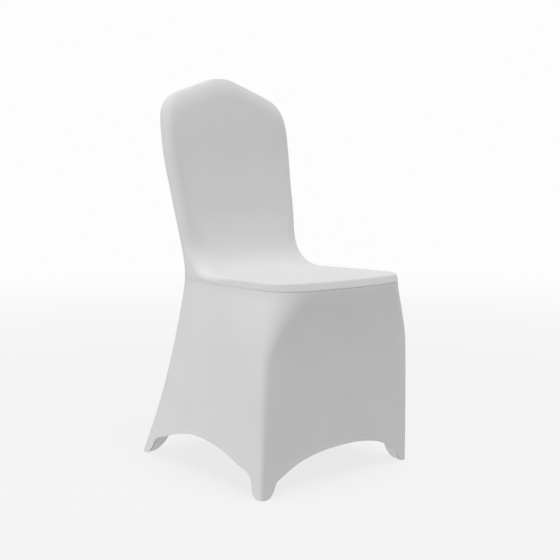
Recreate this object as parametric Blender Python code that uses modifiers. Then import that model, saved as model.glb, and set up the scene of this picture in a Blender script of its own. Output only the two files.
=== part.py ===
"""Stretch chair cover for a banquet chair, as the empty cloth skin in its fitted shape.

Metres, +Z up.  X runs from the cover's left to its right as seen from the front,
the front faces -Y, and z = 0 is the floor under the four foot pockets.
Each panel is an open surface on the outside of the cloth, thickened inwards.
"""

import math
from collections import namedtuple

import bmesh
import bpy
from mathutils import Vector

# Cloth and seams
CLOTH = 0.002
SEAM_GAP = 0.0003
SEAM_FLAT = 0.003
CENTRE_SHIFT_Y = -0.0013
SLOPE_STEP = 0.01
MERGE_DISTANCE = 0.00001
CLOTH_COLOUR = (0.83, 0.83, 0.83)

# Backrest
CROWN_ROUNDING = 0.046
REAR_RADIUS = 0.007
REAR_STRAIGHT = 0.0028
CROWN_INNER_Z = 0.800
SHOULDER_SHARE = 0.282
BACK_END_SHARE = 0.9065
BACK_ROWS = 11
BACK_ROW_EASE = 1.3
SHOULDER_ROWS = 6

# Seat
SEAT_SEAM_Z = 0.437
SEAT_EDGE_Z = 0.4556
SEAT_CROWN = 0.0045
SEAT_HALF_WIDTH = 0.190
SEAT_FRONT_Y = -0.255
SEAT_CROWN_RUN = 0.160
SEAT_REAR_Y = 0.020
SEAT_INNER_FRONT_Y = -0.185
SEAT_INNER_X = 0.126
RIM_LEAN_SIDE = 0.0002
RIM_LEAN_FRONT = 0.0045
SWEEP_EASE = 0.6
FILLET_STEPS = 6
SIDE_STEPS = 5
FACE_COLUMNS = 6
FACE_SHARE = 0.52
FACE_RINGS = 3
ROUND_STEPS = 4

# Skirt
FOOT_RADIUS = 0.012
SIDE_BULGE = 0.0065
ARC_HANDLE = 0.5523
CORNER_STEPS = 6
SKIRT_ROWS = 10

# Distances of the hem's columns from a foot's corner
FRONT_COLUMNS = (
    0.230, 0.190, 0.145, 0.110, 0.084, 0.057, 0.041, 0.035, 0.027, 0.018, FOOT_RADIUS,
)
SIDE_COLUMNS = (
    0.018, 0.027, 0.034, 0.038, 0.044, 0.060, 0.095, 0.145, 0.200, 0.260, 0.320,
    0.370, 0.405, 0.4364, 0.4424, 0.4464, 0.4534, 0.4624, 0.4704,
)
REAR_INNER = 0.064
REAR_TONGUE_COLUMNS = (0.050, 0.041, 0.035, 0.027, 0.018, 0.012, REAR_RADIUS)
REAR_ARC_STEPS = 3

# Foot pockets
POCKET_BEND = 0.009
POCKET_BEND_STEPS = 3

# Backrest from the side: its front and rear faces at each height
BackLevel = namedtuple("BackLevel", "z front_y rear_y")
BACK_LEVELS = [
    BackLevel(0.437, 0.0400, 0.1420),
    BackLevel(0.460, 0.0620, 0.1390),
    BackLevel(0.480, 0.0765, 0.1403),
    BackLevel(0.500, 0.0875, 0.1431),
    BackLevel(0.520, 0.0968, 0.1475),
    BackLevel(0.540, 0.1048, 0.1521),
    BackLevel(0.560, 0.1112, 0.1570),
    BackLevel(0.580, 0.1177, 0.1620),
    BackLevel(0.600, 0.1230, 0.1670),
    BackLevel(0.630, 0.1298, 0.1743),
    BackLevel(0.670, 0.1390, 0.1835),
    BackLevel(0.730, 0.1505, 0.1950),
    BackLevel(0.790, 0.1595, 0.2040),
    BackLevel(0.850, 0.1700, 0.2145),
    BackLevel(0.930, 0.1850, 0.2295),
]

# Rounding of the backrest's side: firm above and wide where it sweeps into the seat
BackEdge = namedtuple("BackEdge", "z across deep")
BACK_EDGE = [
    BackEdge(0.500, 0.062, 0.038),
    BackEdge(0.520, 0.053, 0.034),
    BackEdge(0.550, 0.041, 0.030),
    BackEdge(0.580, 0.031, 0.027),
    BackEdge(0.620, 0.024, 0.024),
    BackEdge(0.930, 0.024, 0.024),
]

# Half of the backrest from the front, from the top of the crown down to the waist
OutlinePoint = namedtuple("OutlinePoint", "x z")
BACK_OUTLINE = [
    OutlinePoint(0.0000, 0.9200),
    OutlinePoint(0.0220, 0.9180),
    OutlinePoint(0.0420, 0.9120),
    OutlinePoint(0.1000, 0.8920),
    OutlinePoint(0.1330, 0.8800),
    OutlinePoint(0.1570, 0.8680),
    OutlinePoint(0.1740, 0.8510),
    OutlinePoint(0.1840, 0.8280),
    OutlinePoint(0.1885, 0.7900),
    OutlinePoint(0.1885, 0.7500),
    OutlinePoint(0.1860, 0.7000),
    OutlinePoint(0.1810, 0.6400),
    OutlinePoint(0.1770, 0.5700),
    OutlinePoint(0.1730, 0.5100),
    OutlinePoint(0.1690, 0.4550),
]

# Outside of the skirt at each height: front centre, front corner and rear corner
SkirtLevel = namedtuple("SkirtLevel", "z front_y corner_x corner_y corner_radius rear_x rear_y")
SKIRT_LEVELS = [
    SkirtLevel(0.000, -0.2140, 0.2300, -0.2140, 0.012, 0.2100, 0.2660),
    SkirtLevel(0.050, -0.2170, 0.2293, -0.2149, 0.012, 0.2045, 0.2451),
    SkirtLevel(0.100, -0.2200, 0.2285, -0.2158, 0.013, 0.1990, 0.2247),
    SkirtLevel(0.200, -0.2260, 0.2270, -0.2176, 0.016, 0.1887, 0.1910),
    SkirtLevel(0.300, -0.2350, 0.2248, -0.2195, 0.022, 0.1785, 0.1660),
    SkirtLevel(0.360, -0.2460, 0.2180, -0.2252, 0.043, 0.1725, 0.1545),
    SkirtLevel(0.400, -0.2560, 0.2085, -0.2350, 0.064, 0.1690, 0.1470),
    SkirtLevel(0.434, -0.2630, 0.1980, -0.2440, 0.076, 0.1671, 0.1423),
    SkirtLevel(0.437, -0.2630, 0.1980, -0.2440, 0.076, 0.1670, 0.1420),
    SkirtLevel(0.460, -0.2630, 0.1980, -0.2440, 0.076, 0.1690, 0.1390),
]

# Rounding of the seat's edge: crisp at the front and soft towards the backrest
EdgeRounding = namedtuple("EdgeRounding", "y radius")
SEAT_EDGE = [
    EdgeRounding(-0.270, 0.006),
    EdgeRounding(-0.100, 0.006),
    EdgeRounding(-0.030, 0.009),
    EdgeRounding(0.020, 0.014),
]

# Height of the hem by the distance from a foot's corner, with the tongue over each foot
HemPoint = namedtuple("HemPoint", "from_corner height")
FRONT_HEM = [
    HemPoint(0.000, 0.0008),
    HemPoint(0.012, 0.0008),
    HemPoint(0.018, 0.0016),
    HemPoint(0.027, 0.0066),
    HemPoint(0.035, 0.0195),
    HemPoint(0.041, 0.0335),
    HemPoint(0.057, 0.0425),
    HemPoint(0.084, 0.0560),
    HemPoint(0.110, 0.0660),
    HemPoint(0.145, 0.0735),
    HemPoint(0.190, 0.0790),
    HemPoint(0.230, 0.0800),
]
SIDE_HEM = [
    HemPoint(0.0000, 0.0008),
    HemPoint(0.0120, 0.0008),
    HemPoint(0.0180, 0.0014),
    HemPoint(0.0270, 0.0046),
    HemPoint(0.0340, 0.0160),
    HemPoint(0.0380, 0.0350),
    HemPoint(0.0440, 0.0460),
    HemPoint(0.0600, 0.0530),
    HemPoint(0.0950, 0.0605),
    HemPoint(0.1450, 0.0755),
    HemPoint(0.2000, 0.0840),
    HemPoint(0.2600, 0.0880),
    HemPoint(0.3200, 0.0820),
    HemPoint(0.3700, 0.0695),
    HemPoint(0.4050, 0.0560),
    HemPoint(0.4364, 0.0460),
    HemPoint(0.4424, 0.0350),
    HemPoint(0.4464, 0.0160),
    HemPoint(0.4534, 0.0046),
    HemPoint(0.4624, 0.0014),
    HemPoint(0.4704, 0.0008),
]

# Reach of a foot pocket's inner walls from its corner, across the chair and along its side,
# and how far its edges stay behind the outside of the tongue
PocketLevel = namedtuple("PocketLevel", "z across along set_in")
POCKET_LEVELS = [
    PocketLevel(0.0500, 0.0430, 0.0400, 0.0026),
    PocketLevel(0.0335, 0.0410, 0.0377, 0.0028),
    PocketLevel(0.0195, 0.0350, 0.0345, 0.0031),
    PocketLevel(0.0066, 0.0270, 0.0285, 0.0034),
    PocketLevel(0.0012, 0.0180, 0.0195, 0.0034),
    PocketLevel(0.0000, 0.0165, 0.0165, 0.0034),
]


def blend(start, end, share):
    """Number or vector a share of the way from start to end."""
    return start + (end - start) * share


def bezier(start, first, second, end, share):
    """Point on the cubic curve from start to end with two handles."""
    rest = 1.0 - share
    near = start * rest ** 3 + first * 3 * share * rest ** 2
    return near + second * 3 * share ** 2 * rest + end * share ** 3


def smooth_value(pairs, place):
    """Value at a place on a smooth curve through (place, value) pairs, without overshoot."""
    if place <= pairs[0][0]:
        return pairs[0][1]
    if place >= pairs[-1][0]:
        return pairs[-1][1]
    slopes = [(b[1] - a[1]) / (b[0] - a[0]) for a, b in zip(pairs, pairs[1:])]

    def tangent(index):
        before = slopes[max(index - 1, 0)]
        after = slopes[min(index, len(slopes) - 1)]
        if before * after <= 0.0:
            return 0.0
        return 2.0 * before * after / (before + after)

    index = max(i for i, pair in enumerate(pairs[:-1]) if pair[0] <= place)
    (start_place, start), (end_place, end) = pairs[index], pairs[index + 1]
    width = end_place - start_place
    t = (place - start_place) / width
    leave = tangent(index) * width
    arrive = tangent(index + 1) * width
    rise = end - start
    square = 3 * rise - 2 * leave - arrive
    cube = leave + arrive - 2 * rise
    return start + leave * t + square * t ** 2 + cube * t ** 3


def columns(rows, place, value):
    """Two named columns of a table, as pairs in rising order of the first."""
    return sorted((getattr(row, place), getattr(row, value)) for row in rows)


def skirt_level(z):
    """All the sizes of the skirt at one height."""
    names = SkirtLevel._fields[1:]
    return SkirtLevel(z, *(smooth_value(columns(SKIRT_LEVELS, "z", name), z) for name in names))


def back_front_y(z):
    """Front face of the backrest at one height."""
    return smooth_value(columns(BACK_LEVELS, "z", "front_y"), z)


def back_rear_y(z):
    """Rear face of the backrest at one height."""
    return smooth_value(columns(BACK_LEVELS, "z", "rear_y"), z)


def back_lean(z):
    """How far the backrest's front face goes back for each metre up."""
    return (back_front_y(z + SLOPE_STEP) - back_front_y(z - SLOPE_STEP)) / (2 * SLOPE_STEP)


def outline_at(share):
    """Point of the backrest's outline a share of the way from the crown to the waist, as (x, z)."""
    lengths = [0.0]
    for a, b in zip(BACK_OUTLINE, BACK_OUTLINE[1:]):
        lengths.append(lengths[-1] + math.dist(a, b))
    place = share * lengths[-1]
    x = smooth_value([(length, point.x) for length, point in zip(lengths, BACK_OUTLINE)], place)
    z = smooth_value([(length, point.z) for length, point in zip(lengths, BACK_OUTLINE)], place)
    return Vector((x, z))


def outline_inward(share):
    """Unit direction into the backrest's face, square to its outline, as (x, z)."""
    if share < SLOPE_STEP:
        return Vector((0.0, -1.0))
    ahead = outline_at(min(share + SLOPE_STEP, 1.0)) - outline_at(share - SLOPE_STEP)
    return Vector((ahead.y, -ahead.x)).normalized()


def half_width(z):
    """Half width of the backrest below its shoulders."""
    lower = [point for point in BACK_OUTLINE if point.z < CROWN_INNER_Z]
    return smooth_value(columns(lower, "z", "x"), z)


def front_curve(level, x):
    """The bowed front of one skirt level, at a given x."""
    bow = level.corner_y - level.front_y
    return Vector((x, level.front_y + bow * (x / level.corner_x) ** 2))


def front_point(level, share):
    """Point on the front, from the centre (0) to the corner's rounding (1)."""
    return front_curve(level, (level.corner_x - level.corner_radius) * share)


def side_direction(level):
    """Unit direction of the side, from the front corner to the rear corner."""
    front = Vector((level.corner_x, level.corner_y))
    return (Vector((level.rear_x, level.rear_y)) - front).normalized()


def rear_corner(z):
    """Rear corner at one height and the side's direction there, for legs, waist and backrest."""
    level = skirt_level(z)
    direction = side_direction(level)
    if z <= SEAT_SEAM_Z:
        return Vector((level.rear_x, level.rear_y)), direction
    up = min(1.0, (z - SEAT_SEAM_Z) / (SEAT_EDGE_Z - SEAT_SEAM_Z))
    width = blend(level.rear_x, half_width(z), up)
    return Vector((width, back_rear_y(z))), blend(direction, Vector((0.0, 1.0)), up).normalized()


def rear_seam(z, beyond=0.0):
    """Where the sides meet the outside back, just in front of the rear corner's rounding."""
    corner, direction = rear_corner(z)
    return corner - direction * (REAR_RADIUS + REAR_STRAIGHT - beyond)


def side_point(level, share):
    """Point on the side, from the front corner's rounding (0) to the rear seam (1)."""
    along = side_direction(level)
    start = Vector((level.corner_x, level.corner_y)) + along * level.corner_radius
    bulge = SIDE_BULGE * min(1.0, level.z / SEAT_SEAM_Z) * math.sin(math.pi * share) ** 2
    outward = Vector((along.y, -along.x))
    return blend(start, rear_seam(level.z, -SEAM_GAP / 2), share) + outward * bulge


def corner_point(level, share):
    """Point on the rounded front corner, from the front (0) to the side (1)."""
    start = front_point(level, 1.0)
    end = side_point(level, 0.0)
    leave = (start - front_point(level, 1.0 - SLOPE_STEP)).normalized()
    handle = level.corner_radius * ARC_HANDLE
    return bezier(start, start + leave * handle, end - side_direction(level) * handle, end, share)


def raised(point, z):
    """Plan point lifted to a height."""
    return Vector((point.x, point.y, z))


def seat_height(x, y):
    """Top of the seat, a little higher in its middle."""
    run = min(1.0, max(0.0, (y - SEAT_FRONT_Y) / SEAT_CROWN_RUN))
    rise = SEAT_CROWN * math.sin(math.pi / 2 * run)
    return SEAT_EDGE_Z + rise * (1.0 - min(1.0, abs(x) / SEAT_HALF_WIDTH) ** 2)


def fillet_point(x, share):
    """Point of the face where the backrest (0) sweeps into the seat (1)."""
    top_z = outline_at(BACK_END_SHARE).y
    top = Vector((back_front_y(top_z), top_z))
    end = Vector((SEAT_REAR_Y, SEAT_EDGE_Z + SEAT_CROWN))
    bend = Vector((top.x - back_lean(top_z) * (top.y - end.y), end.y))
    place = blend(blend(top, bend, share), blend(bend, end, share), share)
    drop = (end.y - seat_height(x, SEAT_REAR_Y)) * share
    return Vector((x, place.x, place.y - drop))


def fillet_normal(share):
    """Direction that the edge's rounding turns from, level at the backrest and up at the seat."""
    angle = math.pi / 2 * share
    return Vector((0.0, -math.cos(angle), math.sin(angle)))


# One line of cloth from the grid of the face, over the rounded edge, to the seam.
# inner and face_edge are flat places on the face, which lift turns into points.
# turn is the angle of the rounding, a quarter turn unless what follows leans.
EdgeLine = namedtuple(
    "EdgeLine",
    "inner face_edge lift outward normal across deep seam seam_back turn",
    defaults=(math.pi / 2,),
)


def edge_line_points(line):
    """All points of an edge line, from the face's grid to the seam."""
    rings = [ring / FACE_RINGS for ring in range(FACE_RINGS + 1)]
    points = [line.lift(blend(line.inner, line.face_edge, ring)) for ring in rings]
    edge = points[-1]
    for step in range(1, ROUND_STEPS + 1):
        angle = line.turn * step / ROUND_STEPS
        reach = line.outward * line.across * math.sin(angle)
        depth = line.normal * line.deep * (1.0 - math.cos(angle))
        points.append(edge + reach - depth)
    points.append(line.seam + line.seam_back * SEAM_FLAT)
    points.append(line.seam)
    return points


def on_back(place):
    """Point of the backrest's front face from its x and z."""
    return Vector((place.x, back_front_y(place.y), place.y))


def on_seat(place):
    """Point of the seat's top from its x and y."""
    return raised(place, seat_height(place.x, place.y))


def on_fillet(place):
    """Point of the sweep between backrest and seat, from its x and its share."""
    return fillet_point(place.x, place.y)


def back_line(share, inner):
    """Edge line of the backrest at a share of its outline."""
    outline = outline_at(share)
    inward = outline_inward(share)
    side_across = smooth_value(columns(BACK_EDGE, "z", "across"), outline.y)
    across = blend(side_across, CROWN_ROUNDING, max(0.0, -inward.y))
    lean = back_lean(outline.y)
    seam_y = back_rear_y(outline.y) - REAR_RADIUS - REAR_STRAIGHT - SEAM_GAP / 2
    return EdgeLine(
        inner=inner,
        face_edge=outline + inward * across,
        lift=on_back,
        outward=Vector((-inward.x, -inward.y * lean, -inward.y)),
        normal=Vector((0.0, -1.0, 0.0)),
        across=across,
        deep=smooth_value(columns(BACK_EDGE, "z", "deep"), outline.y),
        seam=Vector((outline.x, seam_y, outline.y)),
        seam_back=Vector((0.0, -1.0, 0.0)),
    )


def crown_lines():
    """Edge lines over the crown, from its centre to the shoulder."""
    corner_x = outline_at(SHOULDER_SHARE).x * FACE_SHARE
    lines = []
    for step in range(FACE_COLUMNS + 1):
        share = step / FACE_COLUMNS
        lines.append(back_line(SHOULDER_SHARE * share, Vector((corner_x * share, CROWN_INNER_Z))))
    return lines


def back_share(row):
    """Share of the outline for one row of the backrest, with closer rows at the shoulder."""
    return blend(SHOULDER_SHARE, BACK_END_SHARE, (row / BACK_ROWS) ** BACK_ROW_EASE)


def back_inner_z(row):
    """Height of a row in the middle of the backrest, level with its outline below the shoulder."""
    if row >= SHOULDER_ROWS:
        return outline_at(back_share(row)).y
    return blend(CROWN_INNER_Z, outline_at(back_share(SHOULDER_ROWS)).y, row / SHOULDER_ROWS)


def back_lines():
    """Edge lines down the side of the backrest, from the shoulder."""
    lines = []
    for row in range(BACK_ROWS + 1):
        share = back_share(row)
        lines.append(back_line(share, Vector((outline_at(share).x * FACE_SHARE, back_inner_z(row)))))
    return lines


def fillet_lines():
    """Edge lines round the inside of the waist, between the backrest's and the seat's."""
    level = skirt_level(SEAT_SEAM_Z)
    top = outline_at(BACK_END_SHARE)
    seat_edge = side_point(level, side_share(level, SEAT_REAR_Y))
    waist_z = SEAT_SEAM_Z + SEAM_GAP / 2
    waist = raised(rear_seam(SEAT_SEAM_Z, -SEAM_GAP / 2), waist_z)
    last_radius = smooth_value(SEAT_EDGE, SEAT_REAR_Y)
    lines = []
    for step in range(1, FILLET_STEPS):
        share = step / FILLET_STEPS
        up = max(0.0, 1.0 - 2.0 * share)
        forward = max(0.0, 2.0 * share - 1.0)
        seam_z = blend(waist_z, top.y, up)
        if up > 0.0:
            seam = raised(rear_seam(seam_z, -SEAM_GAP / 2), seam_z)
        else:
            seam_y = blend(waist.y, SEAT_REAR_Y, forward)
            seam = raised(side_point(level, side_share(level, seam_y)), waist_z)
        seam_back = Vector((0.0, 0.0, 1.0))
        if up > 0.0:
            seam_back = Vector((0.0, -1.0, 0.0))
        elif forward == 0.0:
            seam_back = Vector((0.0, -1.0, 1.0))
        eased = share ** SWEEP_EASE
        across = blend(BACK_EDGE[0].across, last_radius, eased)
        edge_x = blend(top.x, seat_edge.x - RIM_LEAN_SIDE * share, share) - across
        inner_x = blend(top.x * FACE_SHARE, SEAT_INNER_X, share)
        line = EdgeLine(
            inner=Vector((inner_x, share)),
            face_edge=Vector((edge_x, share)),
            lift=on_fillet,
            outward=Vector((1.0, 0.0, 0.0)),
            normal=fillet_normal(share),
            across=across,
            deep=blend(BACK_EDGE[0].deep, last_radius, eased),
            seam=seam,
            seam_back=seam_back,
        )
        lines.append(line)
    return lines


def side_share(level, y):
    """Share of the side's length at which it reaches a given y."""
    start = side_point(level, 0.0)
    end = side_point(level, 1.0)
    return (y - start.y) / (end.y - start.y)


def seat_line(plan, outward, inner):
    """Edge line of the seat at a point of its outline."""
    radius = smooth_value(SEAT_EDGE, plan.y)
    lean = blend(RIM_LEAN_SIDE, RIM_LEAN_FRONT, max(0.0, -outward.y) ** 2)
    return EdgeLine(
        inner=inner,
        face_edge=plan - outward * (radius + lean),
        lift=on_seat,
        outward=raised(outward, 0.0),
        normal=Vector((0.0, 0.0, 1.0)),
        across=radius,
        deep=radius,
        seam=raised(plan, SEAT_SEAM_Z + SEAM_GAP / 2),
        seam_back=Vector((0.0, 0.0, 1.0)),
        turn=math.pi / 2 - math.atan2(lean, SEAT_EDGE_Z - SEAT_SEAM_Z - radius / 2),
    )


def seat_lines():
    """Edge lines of the seat: those up to the front corner, then those from the waist to it."""
    level = skirt_level(SEAT_SEAM_Z)
    half_corner = CORNER_STEPS // 2
    straight = FACE_COLUMNS - half_corner
    rear_share = side_share(level, SEAT_REAR_Y)
    plan = [front_point(level, step / straight) for step in range(straight)]
    plan += [corner_point(level, step / CORNER_STEPS) for step in range(CORNER_STEPS + 1)]
    plan += [side_point(level, rear_share * step / SIDE_STEPS) for step in range(1, SIDE_STEPS + 1)]
    side_rows = len(plan) - 1 - FACE_COLUMNS
    lines = []
    for index, point in enumerate(plan):
        ahead = plan[min(index + 1, len(plan) - 1)] - plan[max(index - 1, 0)]
        outward = Vector((ahead.y, -ahead.x)).normalized() if index else Vector((0.0, -1.0))
        if index <= FACE_COLUMNS:
            inner = Vector((SEAT_INNER_X * index / FACE_COLUMNS, SEAT_INNER_FRONT_Y))
        else:
            row = (index - FACE_COLUMNS) / side_rows
            inner = Vector((SEAT_INNER_X, blend(SEAT_INNER_FRONT_Y, SEAT_REAR_Y, row)))
        lines.append(seat_line(point, outward, inner))
    front = lines[:FACE_COLUMNS + 1]
    side = lines[FACE_COLUMNS:][::-1]
    return front, side


def face_row(line):
    """Points of the face from its centre to an edge line's inner end."""
    shares = [step / FACE_COLUMNS for step in range(FACE_COLUMNS)]
    return [line.lift(Vector((line.inner.x * share, line.inner.y))) for share in shares]


def seat_and_inside_back_grids():
    """The face of the backrest and seat with its sides, then the crown and the seat's front."""
    front, side = seat_lines()
    rows = back_lines() + fillet_lines() + side
    main = [face_row(line) + edge_line_points(line) for line in rows]
    crown = [edge_line_points(line) for line in crown_lines()]
    seat_front = [edge_line_points(line) for line in front]
    return [main, crown, seat_front]


def rear_face_shares():
    """Places of the outside back's columns, from its centre (0) to the rear corner's rounding (1)."""
    whole = SKIRT_LEVELS[0].rear_x
    inner = [blend(whole, REAR_INNER, step / FACE_COLUMNS) for step in range(FACE_COLUMNS + 1)]
    return [(whole - place) / (whole - REAR_RADIUS) for place in inner + list(REAR_TONGUE_COLUMNS)]


def rear_rounding(flat_end, to_corner, seam_start, seam_end):
    """Points round the outside back's edge, from the end of its flat face to its seam."""
    points = []
    handle = (seam_start - seam_end).normalized() * REAR_RADIUS * ARC_HANDLE
    for step in range(1, REAR_ARC_STEPS + 1):
        share = step / REAR_ARC_STEPS
        first = flat_end + to_corner * ARC_HANDLE
        points.append(bezier(flat_end, first, seam_start + handle, seam_start, share))
    return points + [seam_end]


def on_rear(place):
    """Point of the backrest's rear face from its x and z."""
    return Vector((place.x, back_rear_y(place.y), place.y))


def rear_back_line(share, inner):
    """Line of the outside back from the inner grid's corner column to the seam, by outline share."""
    outline = outline_at(share)
    edge = outline + outline_inward(share) * REAR_RADIUS
    shares = rear_face_shares()[FACE_COLUMNS:]
    out = [(place - shares[0]) / (1.0 - shares[0]) for place in shares]
    points = [on_rear(blend(inner, edge, place)) for place in out]
    seam_start = on_rear(outline) - Vector((0.0, REAR_RADIUS, 0.0))
    seam_end = seam_start - Vector((0.0, REAR_STRAIGHT - SEAM_GAP / 2, 0.0))
    return points + rear_rounding(points[-1], on_rear(outline) - points[-1], seam_start, seam_end)


def rear_low_line(heights):
    """Row of the outside back below the backrest, with a height for each of its columns."""
    points = []
    for share, z in zip(rear_face_shares(), heights):
        corner, direction = rear_corner(z)
        points.append(raised(Vector(((corner.x - REAR_RADIUS) * share, corner.y)), z))
    to_corner = raised(corner, z) - points[-1]
    seam_start = raised(corner - direction * REAR_RADIUS, z)
    seam_end = raised(rear_seam(z, SEAM_GAP / 2), z)
    return points + rear_rounding(points[-1], to_corner, seam_start, seam_end)


def hem_height(hem, from_corner):
    """Height of a hem at a distance from a foot's corner."""
    return smooth_value([(point.from_corner, point.height) for point in hem], from_corner)


def skirt_height(hem, row):
    """Height of one row of cloth between the seat's seam (row 0) and the hem (last row)."""
    top = SEAT_SEAM_Z - SEAM_GAP / 2
    if row == 0:
        return top
    return blend(top - SEAM_FLAT, hem, (row - 1) / (SKIRT_ROWS - 1))


def outside_back_grids():
    """The rear face down to its hem, then the crown."""
    shares = rear_face_shares()
    corner_share = shares[FACE_COLUMNS]
    main = []
    for row in range(BACK_ROWS + 1):
        share = back_share(row)
        inner = Vector(((outline_at(share).x - REAR_RADIUS) * corner_share, back_inner_z(row)))
        across = [inner.x * place / corner_share for place in shares[:FACE_COLUMNS]]
        main.append([on_rear(Vector((x, inner.y))) for x in across] + rear_back_line(share, inner))
    top_z = outline_at(BACK_END_SHARE).y
    for step in range(1, FILLET_STEPS // 2 + 1):
        z = blend(top_z, SEAT_SEAM_Z + SEAM_GAP / 2, 2 * step / FILLET_STEPS)
        main.append(rear_low_line([z] * len(shares)))
    foot = SKIRT_LEVELS[0]
    from_corner = [foot.rear_x - (foot.rear_x - REAR_RADIUS) * place for place in shares]
    hems = [hem_height(FRONT_HEM, place) for place in from_corner]
    for row in range(1, SKIRT_ROWS + 1):
        main.append(rear_low_line([skirt_height(hem, row) for hem in hems]))
    corner_x = (outline_at(SHOULDER_SHARE).x - REAR_RADIUS) * corner_share
    crown = []
    for step in range(FACE_COLUMNS + 1):
        share = step / FACE_COLUMNS
        inner = Vector((corner_x * share, CROWN_INNER_Z))
        crown.append(rear_back_line(SHOULDER_SHARE * share, inner))
    return [main, crown]


def skirt_columns():
    """Columns of half the skirt: the function for its place, its share there and its hem's height."""
    foot = SKIRT_LEVELS[0]
    front_run = foot.corner_x - FOOT_RADIUS
    side_run = SIDE_COLUMNS[-1] - FOOT_RADIUS
    found = []
    for place in FRONT_COLUMNS:
        found.append((front_point, (foot.corner_x - place) / front_run, hem_height(FRONT_HEM, place)))
    for step in range(1, CORNER_STEPS + 1):
        found.append((corner_point, step / CORNER_STEPS, FRONT_HEM[0].height))
    for place in SIDE_COLUMNS:
        found.append((side_point, (place - FOOT_RADIUS) / side_run, hem_height(SIDE_HEM, place)))
    return found


def skirt_grids():
    """Half of the skirt, from the front centre round the corner to the rear seam."""
    rows = []
    for row in range(SKIRT_ROWS + 1):
        points = []
        for place_on, share, hem in skirt_columns():
            z = skirt_height(hem, row)
            points.append(raised(place_on(skirt_level(z), share), z))
        rows.append(points)
    return [rows]


def pocket_path(level, corner, across, along):
    """Outside of a foot pocket's two inner walls at one height, from the front or rear to the side."""
    inside = level.set_in
    bend = POCKET_BEND
    far = corner + across * level.across + along * level.along
    start = corner + across * level.across + along * inside
    end = corner + across * inside + along * level.along
    bend_start = far - along * bend
    bend_end = far - across * bend
    handle = bend * ARC_HANDLE
    first = bend_start + along * handle
    second = bend_end + across * handle
    path = [start, start.lerp(bend_start, 0.5), bend_start]
    for step in range(1, POCKET_BEND_STEPS):
        path.append(bezier(bend_start, first, second, bend_end, step / POCKET_BEND_STEPS))
    return path + [bend_end, bend_end.lerp(end, 0.5), end]


def pocket_grids(side, rear):
    """Inner walls and flat underside of one foot pocket, behind the tongue of cloth."""
    rows = []
    across = Vector((-1.0, 0.0))
    for pocket in POCKET_LEVELS:
        level = skirt_level(pocket.z)
        along = side_direction(level)
        corner = Vector((level.corner_x, level.corner_y))
        if rear:
            along = -along
            corner = Vector((level.rear_x, level.rear_y))
        path = pocket_path(pocket, corner, across, along)
        rows.append([raised(place, pocket.z) for place in path])
    radius = REAR_RADIUS if rear else FOOT_RADIUS
    inner_radius = radius - POCKET_LEVELS[-1].set_in
    count = len(rows[0]) - 1
    under = []
    for step in range(count + 1):
        angle = math.pi / 2 * step / count
        inwards = across * (radius - inner_radius * math.sin(angle))
        lengthways = along * (radius - inner_radius * math.cos(angle))
        under.append(raised(corner + inwards + lengthways, 0.0))
    rows.append(under)
    return [[[Vector((point.x * side, point.y, point.z)) for point in row] for row in rows]]


def new_material(name):
    """Matt knitted cloth."""
    material = bpy.data.materials.new(name)
    material.use_nodes = True
    surface = material.node_tree.nodes["Principled BSDF"]
    surface.inputs["Base Color"].default_value = (*CLOTH_COLOUR, 1.0)
    surface.inputs["Roughness"].default_value = 0.9
    surface.inputs["Metallic"].default_value = 0.0
    return material


def new_sheet(collection, name, grids, facing, mirrored):
    """Cloth sheet from grids of points that share their borders, thickened inwards."""
    bm = bmesh.new()
    shift = Vector((0.0, CENTRE_SHIFT_Y, 0.0))
    for grid in grids:
        verts = [[bm.verts.new(point + shift) for point in row] for row in grid]
        for upper, lower in zip(verts, verts[1:]):
            for a, b, c, d in zip(upper, upper[1:], lower[1:], lower):
                bm.faces.new((a, b, c, d))
    bmesh.ops.remove_doubles(bm, verts=bm.verts, dist=MERGE_DISTANCE)
    bmesh.ops.recalc_face_normals(bm, faces=bm.faces)
    bm.faces.ensure_lookup_table()
    if bm.faces[0].normal.dot(Vector(facing)) < 0.0:
        bmesh.ops.reverse_faces(bm, faces=bm.faces)
    mesh = bpy.data.meshes.new(name)
    bm.to_mesh(mesh)
    bm.free()
    mesh.shade_smooth()
    mesh.materials.append(new_material(name))
    sheet = bpy.data.objects.new(name, mesh)
    collection.objects.link(sheet)
    if mirrored:
        mirror = sheet.modifiers.new("Left half", "MIRROR")
        mirror.merge_threshold = MERGE_DISTANCE
    thickness = sheet.modifiers.new("Cloth thickness", "SOLIDIFY")
    thickness.thickness = CLOTH
    thickness.offset = -1.0
    return sheet


def main():
    """Build the whole cover in its own collection."""
    for old in list(bpy.data.objects):
        bpy.data.objects.remove(old, do_unlink=True)
    collection = bpy.data.collections.new("chair_cover")
    bpy.context.scene.collection.children.link(collection)
    new_sheet(collection, "seat_and_inside_back", seat_and_inside_back_grids(), (0, -1, 0), True)
    new_sheet(collection, "outside_back", outside_back_grids(), (0, 1, 0), True)
    new_sheet(collection, "skirt", skirt_grids(), (0, -1, 0), True)
    for end, rear in (("front", False), ("rear", True)):
        for hand, side in (("left", -1), ("right", 1)):
            name = f"foot_pocket_{end}_{hand}"
            new_sheet(collection, name, pocket_grids(side, rear), (-side, 0, 0), False)


main()
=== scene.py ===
"""Looks of the stretch chair cover: its cloth panels, their seams and hems, and a plain studio.

Metres, +Z up; the front of the cover faces -Y.  Each panel repeats its solid's form in finer
steps, as thin cloth with rolled seams and a turned hem, and stands for that solid.
"""

import bisect
import logging
import math
from collections.abc import Callable, Iterable
from dataclasses import dataclass, field
from enum import Enum
from typing import NamedTuple, TypeVar

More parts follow.
